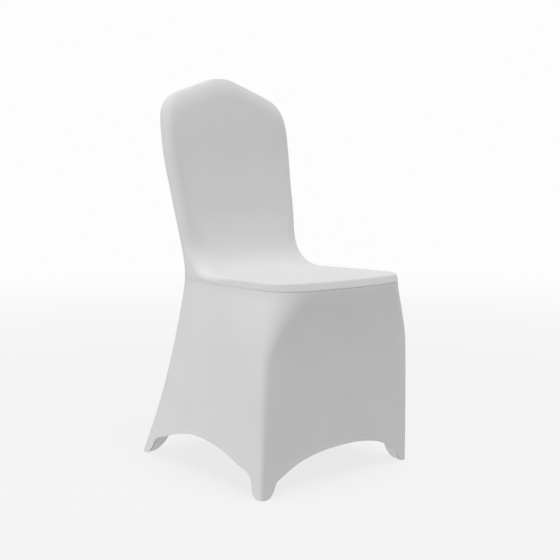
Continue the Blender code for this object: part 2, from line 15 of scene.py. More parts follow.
import bpy
import numpy as np
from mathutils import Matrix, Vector


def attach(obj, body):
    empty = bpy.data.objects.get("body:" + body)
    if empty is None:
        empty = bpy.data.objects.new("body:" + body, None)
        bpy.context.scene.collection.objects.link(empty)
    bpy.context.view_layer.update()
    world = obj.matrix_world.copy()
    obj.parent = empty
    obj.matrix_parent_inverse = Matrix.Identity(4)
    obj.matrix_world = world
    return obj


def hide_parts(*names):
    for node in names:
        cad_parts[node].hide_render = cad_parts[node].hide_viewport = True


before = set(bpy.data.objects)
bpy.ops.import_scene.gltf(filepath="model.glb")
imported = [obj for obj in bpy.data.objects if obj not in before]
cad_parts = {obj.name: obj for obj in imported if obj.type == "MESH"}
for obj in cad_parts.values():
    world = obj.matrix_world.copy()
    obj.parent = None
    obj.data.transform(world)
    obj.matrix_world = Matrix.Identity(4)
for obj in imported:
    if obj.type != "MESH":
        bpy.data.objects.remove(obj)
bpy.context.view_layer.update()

LOG = logging.getLogger("chair_cover")
ROOT = "root"
MILLIMETRE = 0.001

# Cloth, seams and hems
CLOTH = 0.0015
SEAM_GAP = 0.1 * MILLIMETRE
HALF_GAP = SEAM_GAP / 2
SEAM_FLAT = 0.003
SEAM_ROLL = 0.0015
SEAM_ALLOWANCE = 0.005
ROLL_STEPS = 3
ALLOWANCE_STEPS = 2
LEG_ROLL_START_Z = 0.050
LEG_ROLL_FULL_Z = 0.085
REAR_ROLL_START = 0.004
REAR_ROLL_FULL = 0.022
HEM_TURN = 0.009
HEM_RISE = 0.00030
HEM_SINK = 0.00030
HEM_SINK_WIDTH = 0.0009
HEM_FADE_WIDTH = HEM_SINK_WIDTH * 1.5
CREASE_END_DEPTH = 0.25
CENTRE_SHIFT_Y = -0.0013
SLOPE_STEP = 0.01
MERGE_DISTANCE = 0.00001
SHORTEST_RUN = 1e-12

# Steps of the cloth
FACE_COLUMNS = 16
FACE_RINGS = 8
ROUND_STEPS = 8
SPAN_STEPS = 5
BACK_ROWS = 33
SHOULDER_ROWS = 18
FILLET_STEPS = 18
WAIST_CORNER_STEP = 0.08
SIDE_STEPS = 20
CORNER_STEPS = 12
DROP_ROWS = 26
REAR_ARC_STEPS = 5
POCKET_BEND_STEPS = 8
POCKET_WALL_STEPS = 7
POCKET_ROWS = 20
POCKET_ROW_EASE = 1.25
UNDERSIDE_STEPS = 4

# Easing of the cloth at each side of the waist: its reach, and how much is held at the seam
WAIST_LINES = 2
WAIST_EASE_WIDTH = 0.048
WAIST_EASE_CLEAR = 0.026
WAIST_HELD_SHARE = 0.3
EASE_PASSES = 40
EASE_STEP = 0.5

# Heights of the cloth's rows above the hem
HEM_ROWS = (0.0180, 0.0140, 0.0110, 0.0095, 0.0082, 0.0065, 0.0040, 0.0020, 0.0008, 0.0)

# Distances of the cloth's columns from a foot's corner
FRONT_COLUMNS = (
    0.230, 0.216, 0.202, 0.188, 0.174, 0.160, 0.146, 0.132, 0.118, 0.105, 0.093, 0.082, 0.072,
    0.064, 0.058, 0.053, 0.048, 0.0445, 0.041, 0.038, 0.035, 0.032, 0.029, 0.026, 0.023,
    0.020, 0.0175, 0.015, 0.012,
)
SIDE_COLUMNS = (
    0.0145, 0.0175, 0.020, 0.023, 0.026, 0.029, 0.0315, 0.034, 0.036, 0.038, 0.041, 0.044,
    0.048, 0.054, 0.062, 0.073, 0.086, 0.100, 0.115, 0.131, 0.147, 0.163, 0.180, 0.197, 0.214,
    0.231, 0.248, 0.265, 0.282, 0.299, 0.316, 0.333, 0.349, 0.364, 0.378, 0.391, 0.403, 0.413,
    0.422, 0.430, 0.4364, 0.4394, 0.4424, 0.4444, 0.4464, 0.4499, 0.4534, 0.4579, 0.4624,
    0.4664,
)
SIDE_LENGTH = 0.4704
REAR_INNER = 0.064
REAR_TONGUE_COLUMNS = (
    0.058, 0.053, 0.048, 0.0445, 0.041, 0.038, 0.035, 0.032, 0.029, 0.026, 0.023, 0.020,
    0.0175, 0.015, 0.012, 0.0095, 0.007,
)


class BackLevel(NamedTuple):
    """Front and rear face of the backrest at one height."""

    z: float
    front_y: float
    rear_y: float


class BackEdge(NamedTuple):
    """Rounding of the backrest's side at one height."""

    z: float
    across: float
    deep: float


class OutlinePoint(NamedTuple):
    """Point of the backrest's outline, seen from the front."""

    x: float
    z: float


class SkirtLevel(NamedTuple):
    """Outside of the skirt at one height: front centre, front corner and rear corner."""

    z: float
    front_y: float
    corner_x: float
    corner_y: float
    corner_radius: float
    rear_x: float
    rear_y: float


class EdgeRounding(NamedTuple):
    """Rounding of the seat's edge, and how far its seam rolls in, at a place along the side."""

    y: float
    radius: float
    seam_roll: float


class HemPoint(NamedTuple):
    """Height of the hem at a distance from a foot's corner."""

    from_corner: float
    height: float


class PocketLevel(NamedTuple):
    """Reach of a foot pocket's inner walls across the chair and along its side."""

    z: float
    across: float
    along: float
    set_in: float


class Crease(NamedTuple):
    """Soft trough (depth over 0) or ridge (depth under 0) of cloth between two points."""

    start: tuple[float, float, float]
    end: tuple[float, float, float]
    width: float
    depth: float


BACK_LEVELS = (
    BackLevel(0.437, 0.0400, 0.1420),
    BackLevel(0.460, 0.0620, 0.1390),
    BackLevel(0.480, 0.0765, 0.1403),
    BackLevel(0.500, 0.0875, 0.1431),
    BackLevel(0.520, 0.0968, 0.1475),
    BackLevel(0.540, 0.1048, 0.1521),
    BackLevel(0.560, 0.1112, 0.1570),
    BackLevel(0.580, 0.1177, 0.1620),
    BackLevel(0.600, 0.1230, 0.1670),
    BackLevel(0.630, 0.1298, 0.1743),
    BackLevel(0.670, 0.1390, 0.1835),
    BackLevel(0.730, 0.1505, 0.1950),
    BackLevel(0.790, 0.1595, 0.2040),
    BackLevel(0.850, 0.1700, 0.2145),
    BackLevel(0.930, 0.1850, 0.2295),
)

# Firm above, and wide where it sweeps into the seat
BACK_EDGE = (
    BackEdge(0.500, 0.062, 0.038),
    BackEdge(0.520, 0.053, 0.034),
    BackEdge(0.550, 0.041, 0.030),
    BackEdge(0.580, 0.031, 0.027),
    BackEdge(0.620, 0.024, 0.024),
    BackEdge(0.930, 0.024, 0.024),
)

# Half of the backrest from the top of the crown down to the waist
BACK_OUTLINE = (
    OutlinePoint(0.0000, 0.9200),
    OutlinePoint(0.0220, 0.9180),
    OutlinePoint(0.0420, 0.9120),
    OutlinePoint(0.1000, 0.8920),
    OutlinePoint(0.1330, 0.8800),
    OutlinePoint(0.1570, 0.8680),
    OutlinePoint(0.1740, 0.8510),
    OutlinePoint(0.1840, 0.8280),
    OutlinePoint(0.1885, 0.7900),
    OutlinePoint(0.1885, 0.7500),
    OutlinePoint(0.1860, 0.7000),
    OutlinePoint(0.1810, 0.6400),
    OutlinePoint(0.1770, 0.5700),
    OutlinePoint(0.1730, 0.5100),
    OutlinePoint(0.1690, 0.4550),
)
SKIRT_LEVELS = (
    SkirtLevel(0.000, -0.2140, 0.2300, -0.2140, 0.012, 0.2100, 0.2660),
    SkirtLevel(0.050, -0.2170, 0.2293, -0.2149, 0.012, 0.2045, 0.2451),
    SkirtLevel(0.100, -0.2200, 0.2285, -0.2158, 0.013, 0.1990, 0.2247),
    SkirtLevel(0.200, -0.2260, 0.2270, -0.2176, 0.016, 0.1887, 0.1910),
    SkirtLevel(0.300, -0.2350, 0.2248, -0.2195, 0.022, 0.1785, 0.1660),
    SkirtLevel(0.360, -0.2460, 0.2180, -0.2252, 0.043, 0.1725, 0.1545),
    SkirtLevel(0.400, -0.2560, 0.2085, -0.2350, 0.064, 0.1690, 0.1470),
    SkirtLevel(0.434, -0.2630, 0.1980, -0.2440, 0.076, 0.1671, 0.1423),
    SkirtLevel(0.437, -0.2630, 0.1980, -0.2440, 0.076, 0.1670, 0.1420),
    SkirtLevel(0.460, -0.2630, 0.1980, -0.2440, 0.076, 0.1690, 0.1390),
)

# The seat's edge is crisp in front and soft towards the backrest, where its seam is drawn flat
SEAT_EDGE = (
    EdgeRounding(-0.270, 0.006, 0.0015),
    EdgeRounding(-0.200, 0.006, 0.0013),
    EdgeRounding(-0.100, 0.006, 0.0004),
    EdgeRounding(-0.030, 0.009, 0.0001),
    EdgeRounding(0.020, 0.014, 0.0001),
    EdgeRounding(0.160, 0.014, 0.0001),
)
FRONT_HEM = (
    HemPoint(0.000, 0.0008),
    HemPoint(0.012, 0.0008),
    HemPoint(0.018, 0.0016),
    HemPoint(0.027, 0.0066),
    HemPoint(0.035, 0.0195),
    HemPoint(0.041, 0.0335),
    HemPoint(0.057, 0.0425),
    HemPoint(0.084, 0.0560),
    HemPoint(0.110, 0.0660),
    HemPoint(0.145, 0.0735),
    HemPoint(0.190, 0.0790),
    HemPoint(0.230, 0.0800),
)
SIDE_HEM = (
    HemPoint(0.0000, 0.0008),
    HemPoint(0.0120, 0.0008),
    HemPoint(0.0180, 0.0014),
    HemPoint(0.0270, 0.0046),
    HemPoint(0.0340, 0.0160),
    HemPoint(0.0380, 0.0350),
    HemPoint(0.0440, 0.0460),
    HemPoint(0.0600, 0.0530),
    HemPoint(0.0950, 0.0605),
    HemPoint(0.1450, 0.0755),
    HemPoint(0.2000, 0.0840),
    HemPoint(0.2600, 0.0880),
    HemPoint(0.3200, 0.0820),
    HemPoint(0.3700, 0.0695),
    HemPoint(0.4050, 0.0560),
    HemPoint(0.4364, 0.0460),
    HemPoint(0.4424, 0.0350),
    HemPoint(0.4464, 0.0160),
    HemPoint(0.4534, 0.0046),
    HemPoint(0.4624, 0.0014),
    HemPoint(0.4704, 0.0008),
)
POCKET_LEVELS = (
    PocketLevel(0.0500, 0.0430, 0.0400, 0.0019),
    PocketLevel(0.0335, 0.0410, 0.0377, 0.0021),
    PocketLevel(0.0195, 0.0350, 0.0345, 0.0024),
    PocketLevel(0.0066, 0.0270, 0.0285, 0.0030),
    PocketLevel(0.0012, 0.0180, 0.0195, 0.0033),
    PocketLevel(0.0000, 0.0165, 0.0165, 0.0033),
)


class Spot(NamedTuple):
    """Point on a panel, and its place on the flat cloth in metres across and along the wales."""

    point: Vector
    cloth: Vector


Grid = list[list[Spot]]

# Column of the skirt: the form's function for its place, its share there and its hem's height
Column = tuple[Callable[[SkirtLevel, float], Vector], float, float]

Amount = TypeVar("Amount", float, Vector, np.ndarray)


def blend(start: Amount, end: Amount, share: float) -> Amount:
    """Number or vector a share of the way from start to end."""
    return start + (end - start) * share


def bezier(start: Vector, first: Vector, second: Vector, end: Vector, share: float) -> Vector:
    """Point on the cubic curve from start to end with two handles.

    Args:
        start: where the curve starts.
        first: handle near its start.
        second: handle near its end.
        end: where it ends.
        share: share of the way along it.

    Returns:
        The point.
    """
    rest = 1.0 - share
    near = start * rest ** 3 + first * 3 * share * rest ** 2
    return near + second * 3 * share ** 2 * rest + end * share ** 3


def smooth_step(value: float, low: float, high: float) -> float:
    """Soft step from 0 at low to 1 at high."""
    share = min(1.0, max(0.0, (value - low) / (high - low)))
    return share * share * (3.0 - 2.0 * share)


def raised(point: Vector, z: float) -> Vector:
    """Plan point lifted to a height."""
    return Vector((point.x, point.y, z))


def outward_at(line: list[Vector], index: int) -> Vector:
    """Direction out of the cover at one point of a plan line that starts at the front centre.

    Args:
        line: the line's points, in plan.
        index: which point.

    Returns:
        The unit direction, in plan.
    """
    if index == 0:
        return Vector((0.0, -1.0))
    ahead = line[min(index + 1, len(line) - 1)] - line[index - 1]
    return Vector((ahead.y, -ahead.x)).normalized()


class Curve:
    """Smooth curve through (place, value) pairs, without overshoot."""

    def __init__(self, pairs: Iterable[tuple[float, float]]) -> None:
        """Works out the curve's slopes.

        Args:
            pairs: places and the values there, in any order.
        """
        ordered = sorted(pairs)
        self.places = [place for place, _ in ordered]
        self.values = [value for _, value in ordered]
        steps = zip(ordered, ordered[1:])
        slopes = [(b[1] - a[1]) / (b[0] - a[0]) for a, b in steps]
        self.tangents = [slopes[0]]
        for before, after in zip(slopes, slopes[1:]):
            level = before * after <= 0.0
            self.tangents.append(0.0 if level else 2.0 * before * after / (before + after))
        self.tangents.append(slopes[-1])

    def at(self, place: float) -> float:
        """Value at a place; the end values hold beyond the ends.

        Args:
            place: where on the curve.

        Returns:
            The value there.
        """
        if place <= self.places[0]:
            return self.values[0]
        if place >= self.places[-1]:
            return self.values[-1]
        index = bisect.bisect_right(self.places, place) - 1
        width = self.places[index + 1] - self.places[index]
        t = (place - self.places[index]) / width
        leave = self.tangents[index] * width
        arrive = self.tangents[index + 1] * width
        rise = self.values[index + 1] - self.values[index]
        square = 3 * rise - 2 * leave - arrive
        cube = leave + arrive - 2 * rise
        return self.values[index] + leave * t + square * t ** 2 + cube * t ** 3


def lay_on(spots: list[Spot], points: list[Vector], direction: Vector) -> list[Spot]:
    """Adds points to a line of spots, with the flat cloth spread on in one direction.

    Args:
        spots: the line so far.
        points: the points that follow it.
        direction: unit direction on the flat cloth.

    Returns:
        The whole line.
    """
    edge = spots[-1]
    before = edge.point
    travelled = 0.0
    laid = list(spots)
    for point in points:
        travelled += (point - before).length
        before = point
        laid.append(Spot(point, edge.cloth + direction * travelled))
    return laid


def rolled_edge(
    edge: Vector, back: Vector, inward: Vector, roll: float, depth: float
) -> list[Vector]:
    """Points where cloth rolls in at a seam and goes on as its seam allowance.

    Args:
        edge: point of the seam line on the outside.
        back: unit direction from the seam back over the panel.
        inward: unit direction into the cover.
        roll: how far the roll goes in.
        depth: depth of the allowance behind the roll.

    Returns:
        The points, from a roll's width before the seam to the allowance's raw edge.
    """
    points = []
    for step in range(ROLL_STEPS + 1):
        angle = math.pi / 2 * step / ROLL_STEPS
        sideways = back * SEAM_ROLL * (1.0 - math.sin(angle))
        points.append(edge + sideways + inward * roll * (1.0 - math.cos(angle)))
    for step in range(1, ALLOWANCE_STEPS + 1):
        points.append(edge + inward * (roll + depth * step / ALLOWANCE_STEPS))
    return points


@dataclass
class EdgeLine:
    """One line of cloth from the middle grid of a face, over the rounded edge, to the seam."""

    inner: Vector
    face_edge: Vector
    lift: Callable[[Vector], Vector]
    spread: Callable[[Vector], Vector]
    spread_out: Vector
    outward: Vector
    inward: Vector
    normal: Vector
    radius: tuple[float, float]
    seam: Vector
    seam_back: Vector
    seam_roll: float
    turn: float = math.pi / 2

    def spots(self) -> list[Spot]:
        """Spots of the line, from the face's grid to the allowance's raw edge.

        Returns:
            The spots, in order.
        """
        spots = []
        for ring in range(FACE_RINGS + 1):
            place = blend(self.inner, self.face_edge, ring / FACE_RINGS)
            spots.append(Spot(self.lift(place), self.spread(place)))
        edge = spots[-1]
        across, deep = self.radius
        points = []
        for step in range(1, ROUND_STEPS + 1):
            angle = self.turn * step / ROUND_STEPS
            reach = self.outward * across * math.sin(angle)
            points.append(edge.point + reach - self.normal * deep * (1.0 - math.cos(angle)))
        flat = self.seam + self.seam_back * SEAM_FLAT
        last = points[-1]
        points += [last.lerp(flat, step / SPAN_STEPS) for step in range(1, SPAN_STEPS + 1)]
        back = self.seam_back.normalized()
        points += rolled_edge(self.seam, back, self.inward, self.seam_roll, SEAM_ALLOWANCE)
        return lay_on(spots, points, self.spread_out)


@dataclass
class CoverForm:
    """Outside surface of the stretched cover, from the fitting sizes."""

    crown_rounding: float = 0.046
    rear_radius: float = 0.007
    rear_straight: float = 0.0028
    crown_inner_z: float = 0.800
    shoulder_share: float = 0.282
    back_end_share: float = 0.9065
    back_row_ease: float = 1.3
    seat_seam_z: float = 0.437
    seat_edge_z: float = 0.4556
    seat_crown: float = 0.0045
    seat_half_width: float = 0.190
    seat_front_y: float = -0.255
    seat_crown_run: float = 0.160
    seat_rear_y: float = 0.020
    seat_inner_front_y: float = -0.185
    seat_inner_x: float = 0.126
    rim_lean_side: float = 0.0002
    rim_lean_front: float = 0.0045
    sweep_ease: float = 0.6
    face_share: float = 0.52
    foot_radius: float = 0.012
    side_bulge: float = 0.0065
    arc_handle: float = 0.5523
    pocket_bend: float = 0.009
    back_seam_roll: float = 0.0003
    sweep_length: float = field(init=False, default=0.0)

    def __post_init__(self) -> None:
        """Turns the tables into curves."""
        self.front_y = Curve((level.z, level.front_y) for level in BACK_LEVELS)
        self.rear_y = Curve((level.z, level.rear_y) for level in BACK_LEVELS)
        names = SkirtLevel._fields[1:]
        self.skirt = [Curve((row.z, getattr(row, name)) for row in SKIRT_LEVELS) for name in names]
        lengths = [0.0]
        for a, b in zip(BACK_OUTLINE, BACK_OUTLINE[1:]):
            lengths.append(lengths[-1] + math.dist(a, b))
        self.outline_length = lengths[-1]
        self.outline_x = Curve(zip(lengths, (point.x for point in BACK_OUTLINE)))
        self.outline_z = Curve(zip(lengths, (point.z for point in BACK_OUTLINE)))
        lower = [(point.z, point.x) for point in BACK_OUTLINE if point.z < self.crown_inner_z]
        self.width = Curve(lower)
        self.edge_across = Curve((row.z, row.across) for row in BACK_EDGE)
        self.edge_deep = Curve((row.z, row.deep) for row in BACK_EDGE)
        self.edge_radius = Curve((row.y, row.radius) for row in SEAT_EDGE)
        self.edge_roll = Curve((row.y, row.seam_roll) for row in SEAT_EDGE)
        self.front_hem = Curve(FRONT_HEM)
        self.side_hem = Curve(SIDE_HEM)
        steps = [self.sweep_point(0.0, share / FILLET_STEPS) for share in range(FILLET_STEPS + 1)]
        self.sweep_length = sum((b - a).length for a, b in zip(steps, steps[1:]))

    def skirt_level(self, z: float) -> SkirtLevel:
        """All the sizes of the skirt at one height."""
        return SkirtLevel(z, *(curve.at(z) for curve in self.skirt))

    def back_lean(self, z: float) -> float:
        """How far the backrest's front face goes back for each metre up."""
        rise = self.front_y.at(z + SLOPE_STEP) - self.front_y.at(z - SLOPE_STEP)
        return rise / (2 * SLOPE_STEP)

    def outline_at(self, share: float) -> Vector:
        """Point (x, z) of the backrest's outline a share of the way down from the crown."""
        place = share * self.outline_length
        return Vector((self.outline_x.at(place), self.outline_z.at(place)))

    def outline_inward(self, share: float) -> Vector:
        """Unit direction (x, z) into the backrest's face, square to its outline.

        Args:
            share: share of the outline, down from the crown.

        Returns:
            The direction, in x and z.
        """
        if share < SLOPE_STEP:
            return Vector((0.0, -1.0))
        ahead = self.outline_at(min(share + SLOPE_STEP, 1.0)) - self.outline_at(share - SLOPE_STEP)
        return Vector((ahead.y, -ahead.x)).normalized()

    def front_point(self, level: SkirtLevel, share: float) -> Vector:
        """Point on the bowed front, from the centre (0) to the corner's rounding (1).

        Args:
            level: the skirt's sizes at one height.
            share: share of the way from the centre.

        Returns:
            The point, in plan.
        """
        x = (level.corner_x - level.corner_radius) * share
        bow = level.corner_y - level.front_y
        return Vector((x, level.front_y + bow * (x / level.corner_x) ** 2))

    def side_direction(self, level: SkirtLevel) -> Vector:
        """Unit direction of the side, from the front corner to the rear corner."""
        front = Vector((level.corner_x, level.corner_y))
        return (Vector((level.rear_x, level.rear_y)) - front).normalized()

    def rear_corner(self, z: float) -> tuple[Vector, Vector]:
        """Rear corner at one height, and the side's direction there.

        Args:
            z: height, on the legs, the waist or the backrest's foot.

        Returns:
            The corner and the direction, both in plan.
        """
        level = self.skirt_level(z)
        direction = self.side_direction(level)
        if z <= self.seat_seam_z:
            return Vector((level.rear_x, level.rear_y)), direction
        up = min(1.0, (z - self.seat_seam_z) / (self.seat_edge_z - self.seat_seam_z))
        width = blend(level.rear_x, self.width.at(z), up)
        corner = Vector((width, self.rear_y.at(z)))
        return corner, blend(direction, Vector((0.0, 1.0)), up).normalized()

    def rear_seam(self, z: float, beyond: float = 0.0) -> Vector:
        """Plan point where a side meets the outside back, moved rearwards by beyond."""
        corner, direction = self.rear_corner(z)
        return corner - direction * (self.rear_radius + self.rear_straight - beyond)

    def rear_seam_inward(self, z: float) -> Vector:
        """Unit direction into the cover at the rear seam."""
        _, along = self.rear_corner(z)
        return Vector((-along.y, along.x, 0.0))

    def side_point(self, level: SkirtLevel, share: float) -> Vector:
        """Point on the side, from the front corner's rounding (0) to the rear seam (1).

        Args:
            level: the skirt's sizes at one height.
            share: share of the way to the rear seam.

        Returns:
            The point, in plan.
        """
        along = self.side_direction(level)
        start = Vector((level.corner_x, level.corner_y)) + along * level.corner_radius
        rise = min(1.0, level.z / self.seat_seam_z)
        bulge = self.side_bulge * rise * math.sin(math.pi * share) ** 2
        outward = Vector((along.y, -along.x))
        return blend(start, self.rear_seam(level.z, -HALF_GAP), share) + outward * bulge

    def corner_point(self, level: SkirtLevel, share: float) -> Vector:
        """Point on the rounded front corner, from the front (0) to the side (1).

        Args:
            level: the skirt's sizes at one height.
            share: share of the way from front to side.

        Returns:
            The point, in plan.
        """
        start = self.front_point(level, 1.0)
        end = self.side_point(level, 0.0)
        leave = (start - self.front_point(level, 1.0 - SLOPE_STEP)).normalized()
        handle = level.corner_radius * self.arc_handle
        second = end - self.side_direction(level) * handle
        return bezier(start, start + leave * handle, second, end, share)

    def seat_height(self, x: float, y: float) -> float:
        """Top of the seat, a little higher in its middle.

        Args:
            x: place across the chair.
            y: place along it, rearwards.

        Returns:
            The height there.
        """
        run = min(1.0, max(0.0, (y - self.seat_front_y) / self.seat_crown_run))
        rise = self.seat_crown * math.sin(math.pi / 2 * run)
        return self.seat_edge_z + rise * (1.0 - min(1.0, abs(x) / self.seat_half_width) ** 2)

    def sweep_point(self, x: float, share: float) -> Vector:
        """Point of the face where the backrest (0) sweeps into the seat (1).

        Args:
            x: place across the chair.
            share: share of the way down to the seat.

        Returns:
            The point.
        """
        top_z = self.outline_at(self.back_end_share).y
        top = Vector((self.front_y.at(top_z), top_z))
        end = Vector((self.seat_rear_y, self.seat_edge_z + self.seat_crown))
        bend = Vector((top.x - self.back_lean(top_z) * (top.y - end.y), end.y))
        place = blend(blend(top, bend, share), blend(bend, end, share), share)
        drop = (end.y - self.seat_height(x, self.seat_rear_y)) * share
        return Vector((x, place.x, place.y - drop))

    def sweep_normal(self, share: float) -> Vector:
        """Direction that the edge's rounding turns from, level at the backrest, up at the seat."""
        angle = math.pi / 2 * share
        return Vector((0.0, -math.cos(angle), math.sin(angle)))

    def back_share(self, row: int) -> float:
        """Share of the outline for one row of the backrest, closer at the shoulder."""
        eased = (row / BACK_ROWS) ** self.back_row_ease
        return blend(self.shoulder_share, self.back_end_share, eased)

    def back_inner_z(self, row: int) -> float:
        """Height of a row in the middle of the backrest.

        Args:
            row: which row, from the shoulder down.

        Returns:
            The height.
        """
        if row >= SHOULDER_ROWS:
            return self.outline_at(self.back_share(row)).y
        low = self.outline_at(self.back_share(SHOULDER_ROWS)).y
        return blend(self.crown_inner_z, low, row / SHOULDER_ROWS)

    def crown_starts(self, reach: float) -> list[tuple[float, Vector]]:
        """Where the lines over the crown start, one for each column of the face.

        Args:
            reach: how far from the centre the last of them starts.

        Returns:
            A share of the outline and an inner place (x, z) for each, up to the shoulder.
        """
        steps = [step / FACE_COLUMNS for step in range(FACE_COLUMNS + 1)]
        inner = [Vector((reach * step, self.crown_inner_z)) for step in steps]
        return [(self.shoulder_share * step, place) for step, place in zip(steps, inner)]

    def back_outward(self, share: float) -> Vector:
        """Direction out over the backrest's edge, along its leaning face.

        Args:
            share: share of the outline, down from the crown.

        Returns:
            The direction, a unit long before the lean is added.
        """
        inward = self.outline_inward(share)
        lean = self.back_lean(self.outline_at(share).y)
        return Vector((-inward.x, -inward.y * lean, -inward.y))

    def back_spread(self, place: Vector) -> Vector:
        """Place on the flat cloth of a point of the backrest, from its x and z."""
        return Vector((place.x, BACK_OUTLINE[0].z - place.y))


@dataclass
class Panel:
    """One sewn panel of cloth: its creases, its flat size and the way it's laid out.

    heart is a point on its inner side, which its faces turn away from.
    """

    form: CoverForm
    name: str = ""
    stands_for: tuple[str, ...] = ()
    heart: tuple[float, float, float] = (0.0, 0.0, 0.0)
    mirrored: bool = True
    hemmed: bool = False
    creases: tuple[Crease, ...] = ()
    flat: tuple[float, float] = (1.0, 1.0)
    cut_area: float = 1.0
    rests_on: tuple[str, ...] = ()

    def grids(self) -> list[Grid]:
        """Grids of the panel that share their borders; each panel has its own."""
        raise NotImplementedError

    def hem(self, grids: list[Grid]) -> list[Vector]:
        """Points along the panel's hem, on one half; none where it has no hem."""
        return [spot.point for spot in grids[0][-1]] if self.hemmed else []

    def build(self) -> bpy.types.Object:
        """Makes the panel as one thin, closed piece of cloth.

        Returns:
            The finished piece, with its place in its mesh.
        """
        grids = self.grids()
        piece = join_grids(self.name, grids)
        if self.mirrored:
            apply_modifier(piece, "MIRROR", merge_threshold=MERGE_DISTANCE * 2)
        face_outwards(piece, Vector(self.heart))
        self.shape_cloth(piece, self.hem(grids))
        apply_modifier(piece, "SOLIDIFY", thickness=CLOTH, offset=-1.0)
        apply_modifier(piece, "SUBSURF", levels=1, render_levels=1)
        bpy.ops.object.shade_smooth()
        return piece

    def shape_cloth(self, piece: bpy.types.Object, hem: list[Vector]) -> None:
        """Raises the turned hem, sinks its stitch line and presses the creases in.

        Args:
            piece: the open sheet.
            hem: points along the hem of one half.
        """
        mesh = piece.data
        points = read_points(mesh)
        normals = np.empty(len(mesh.vertices) * 3)
        mesh.vertex_normals.foreach_get("vector", normals)
        offset = np.zeros(len(points))
        if hem:
            line = np.array([tuple(point) for point in hem]) + (0.0, CENTRE_SHIFT_Y, 0.0)
            away = distance_to_line(points * (1, 1, 1), line)
            if self.mirrored:
                away = np.minimum(away, distance_to_line(points * (-1, 1, 1), line))
            turned = 1.0 - np.clip((away - HEM_TURN) / HEM_FADE_WIDTH + 0.5, 0.0, 1.0)
            sunk = np.exp(-((away - HEM_TURN) / HEM_SINK_WIDTH) ** 2)
            offset += HEM_RISE * turned - HEM_SINK * sunk
        for crease in self.creases:
            ends = np.array([crease.start, crease.end])
            away = distance_to_line(points, ends)
            run = ends[1] - ends[0]
            along = np.clip((points - ends[0]) @ run / (run @ run), 0.0, 1.0)
            taper = blend(CREASE_END_DEPTH, 1.0, np.sin(math.pi * along))
            offset -= crease.depth * taper * np.exp(-(away / crease.width) ** 2)
        points += normals.reshape(-1, 3) * offset[:, None]
        mesh.vertices.foreach_set("co", points.ravel())
        mesh.update()

    def dress(self, piece: bpy.types.Object, material: bpy.types.Material) -> None:
        """Dresses the finished cloth, hangs it on the root body and hides the solids it stands for.

        Args:
            piece: the finished cloth.
            material: its finish.
        """
        piece.data.materials.clear()
        piece.data.materials.append(material)
        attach(piece, ROOT)
        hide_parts(*self.stands_for)
        rests_on = list(self.rests_on)


def read_points(mesh: bpy.types.Mesh) -> np.ndarray:
    """Vertices of a mesh as rows of x, y and z.

    Args:
        mesh: the mesh.

    Returns:
        One row for each vertex.
    """
    flat = np.empty(len(mesh.vertices) * 3)
    mesh.vertices.foreach_get("co", flat)
    return flat.reshape(-1, 3)


def ease_surface(mesh: bpy.types.Mesh, share: np.ndarray) -> None:
    """Draws vertices towards their neighbours' middle, as a taut skin rounds off a corner.

    Args:
        mesh: the open sheet.
        share: how free each vertex is to move, from 0 to 1.
    """
    points = read_points(mesh)
    ends = np.empty(len(mesh.edges) * 2, dtype=np.int64)
    mesh.edges.foreach_get("vertices", ends)
    first, second = ends.reshape(-1, 2).T
    neighbours = np.bincount(ends, minlength=len(points))[:, None]
    for _ in range(EASE_PASSES):
        total = np.zeros_like(points)
        np.add.at(total, first, points[second])
        np.add.at(total, second, points[first])
        points += (total / neighbours - points) * share[:, None] * EASE_STEP
    mesh.vertices.foreach_set("co", points.ravel())
    mesh.update()


def distance_to_line(points: np.ndarray, line: np.ndarray) -> np.ndarray:
    """Distance of each point from a line of joined points.

    Args:
        points: rows of x, y and z.
        line: the line's points, in order.

    Returns:
        The distances, in the points' order.
    """
    nearest = np.full(len(points), np.inf)
    for start, end in zip(line, line[1:]):
        run = end - start
        length = max(run @ run, SHORTEST_RUN)
        along = np.clip((points - start) @ run / length, 0.0, 1.0)
        away = np.linalg.norm(points - start - along[:, None] * run, axis=1)
        nearest = np.minimum(nearest, away)
    return nearest


def select_only(*pieces: bpy.types.Object) -> None:
    """Selects these objects alone, with the first one active.

    Args:
        *pieces: the objects.
    """
    bpy.ops.object.select_all(action="DESELECT")
    for piece in pieces:
        piece.select_set(True)
    bpy.context.view_layer.objects.active = pieces[0]


def apply_modifier(piece: bpy.types.Object, kind: str, **settings: object) -> None:
    """Adds a modifier with its settings and applies it to the piece.

    Args:
        piece: the object.
        kind: the modifier's type.
        **settings: its settings, by name.
    """
    select_only(piece)
    modifier = piece.modifiers.new(kind.capitalize(), kind)
    for key, value in settings.items():
        setattr(modifier, key, value)
    bpy.ops.object.modifier_apply(modifier=modifier.name)


def grid_object(grid: Grid) -> bpy.types.Object:
    """Blender grid laid on a panel's spots, with the flat cloth as its UV map.

    Args:
        grid: rows of spots.

    Returns:
        The new object.
    """
    rows, columns = len(grid), len(grid[0])
    bpy.ops.object.select_all(action="DESELECT")
    bpy.ops.mesh.primitive_grid_add(x_subdivisions=columns - 1, y_subdivisions=rows - 1, size=1.0)
    made = bpy.context.object
    mesh = made.data
    start = read_points(mesh)
    column = np.rint((start[:, 0] + 0.5) * (columns - 1)).astype(int)
    row = np.rint((start[:, 1] + 0.5) * (rows - 1)).astype(int)
    points = np.array([[tuple(spot.point) for spot in line] for line in grid])
    points[..., 1] += CENTRE_SHIFT_Y
    cloth = np.array([[tuple(spot.cloth) for spot in line] for line in grid])
    mesh.vertices.foreach_set("co", points[row, column].ravel())
    corners = np.empty(len(mesh.loops), dtype=np.int32)
    mesh.loops.foreach_get("vertex_index", corners)
    layer = mesh.uv_layers.active
    layer.name = "Cloth"
    layer.data.foreach_set("uv", cloth[row, column][corners].ravel())
    mesh.update()
    return made


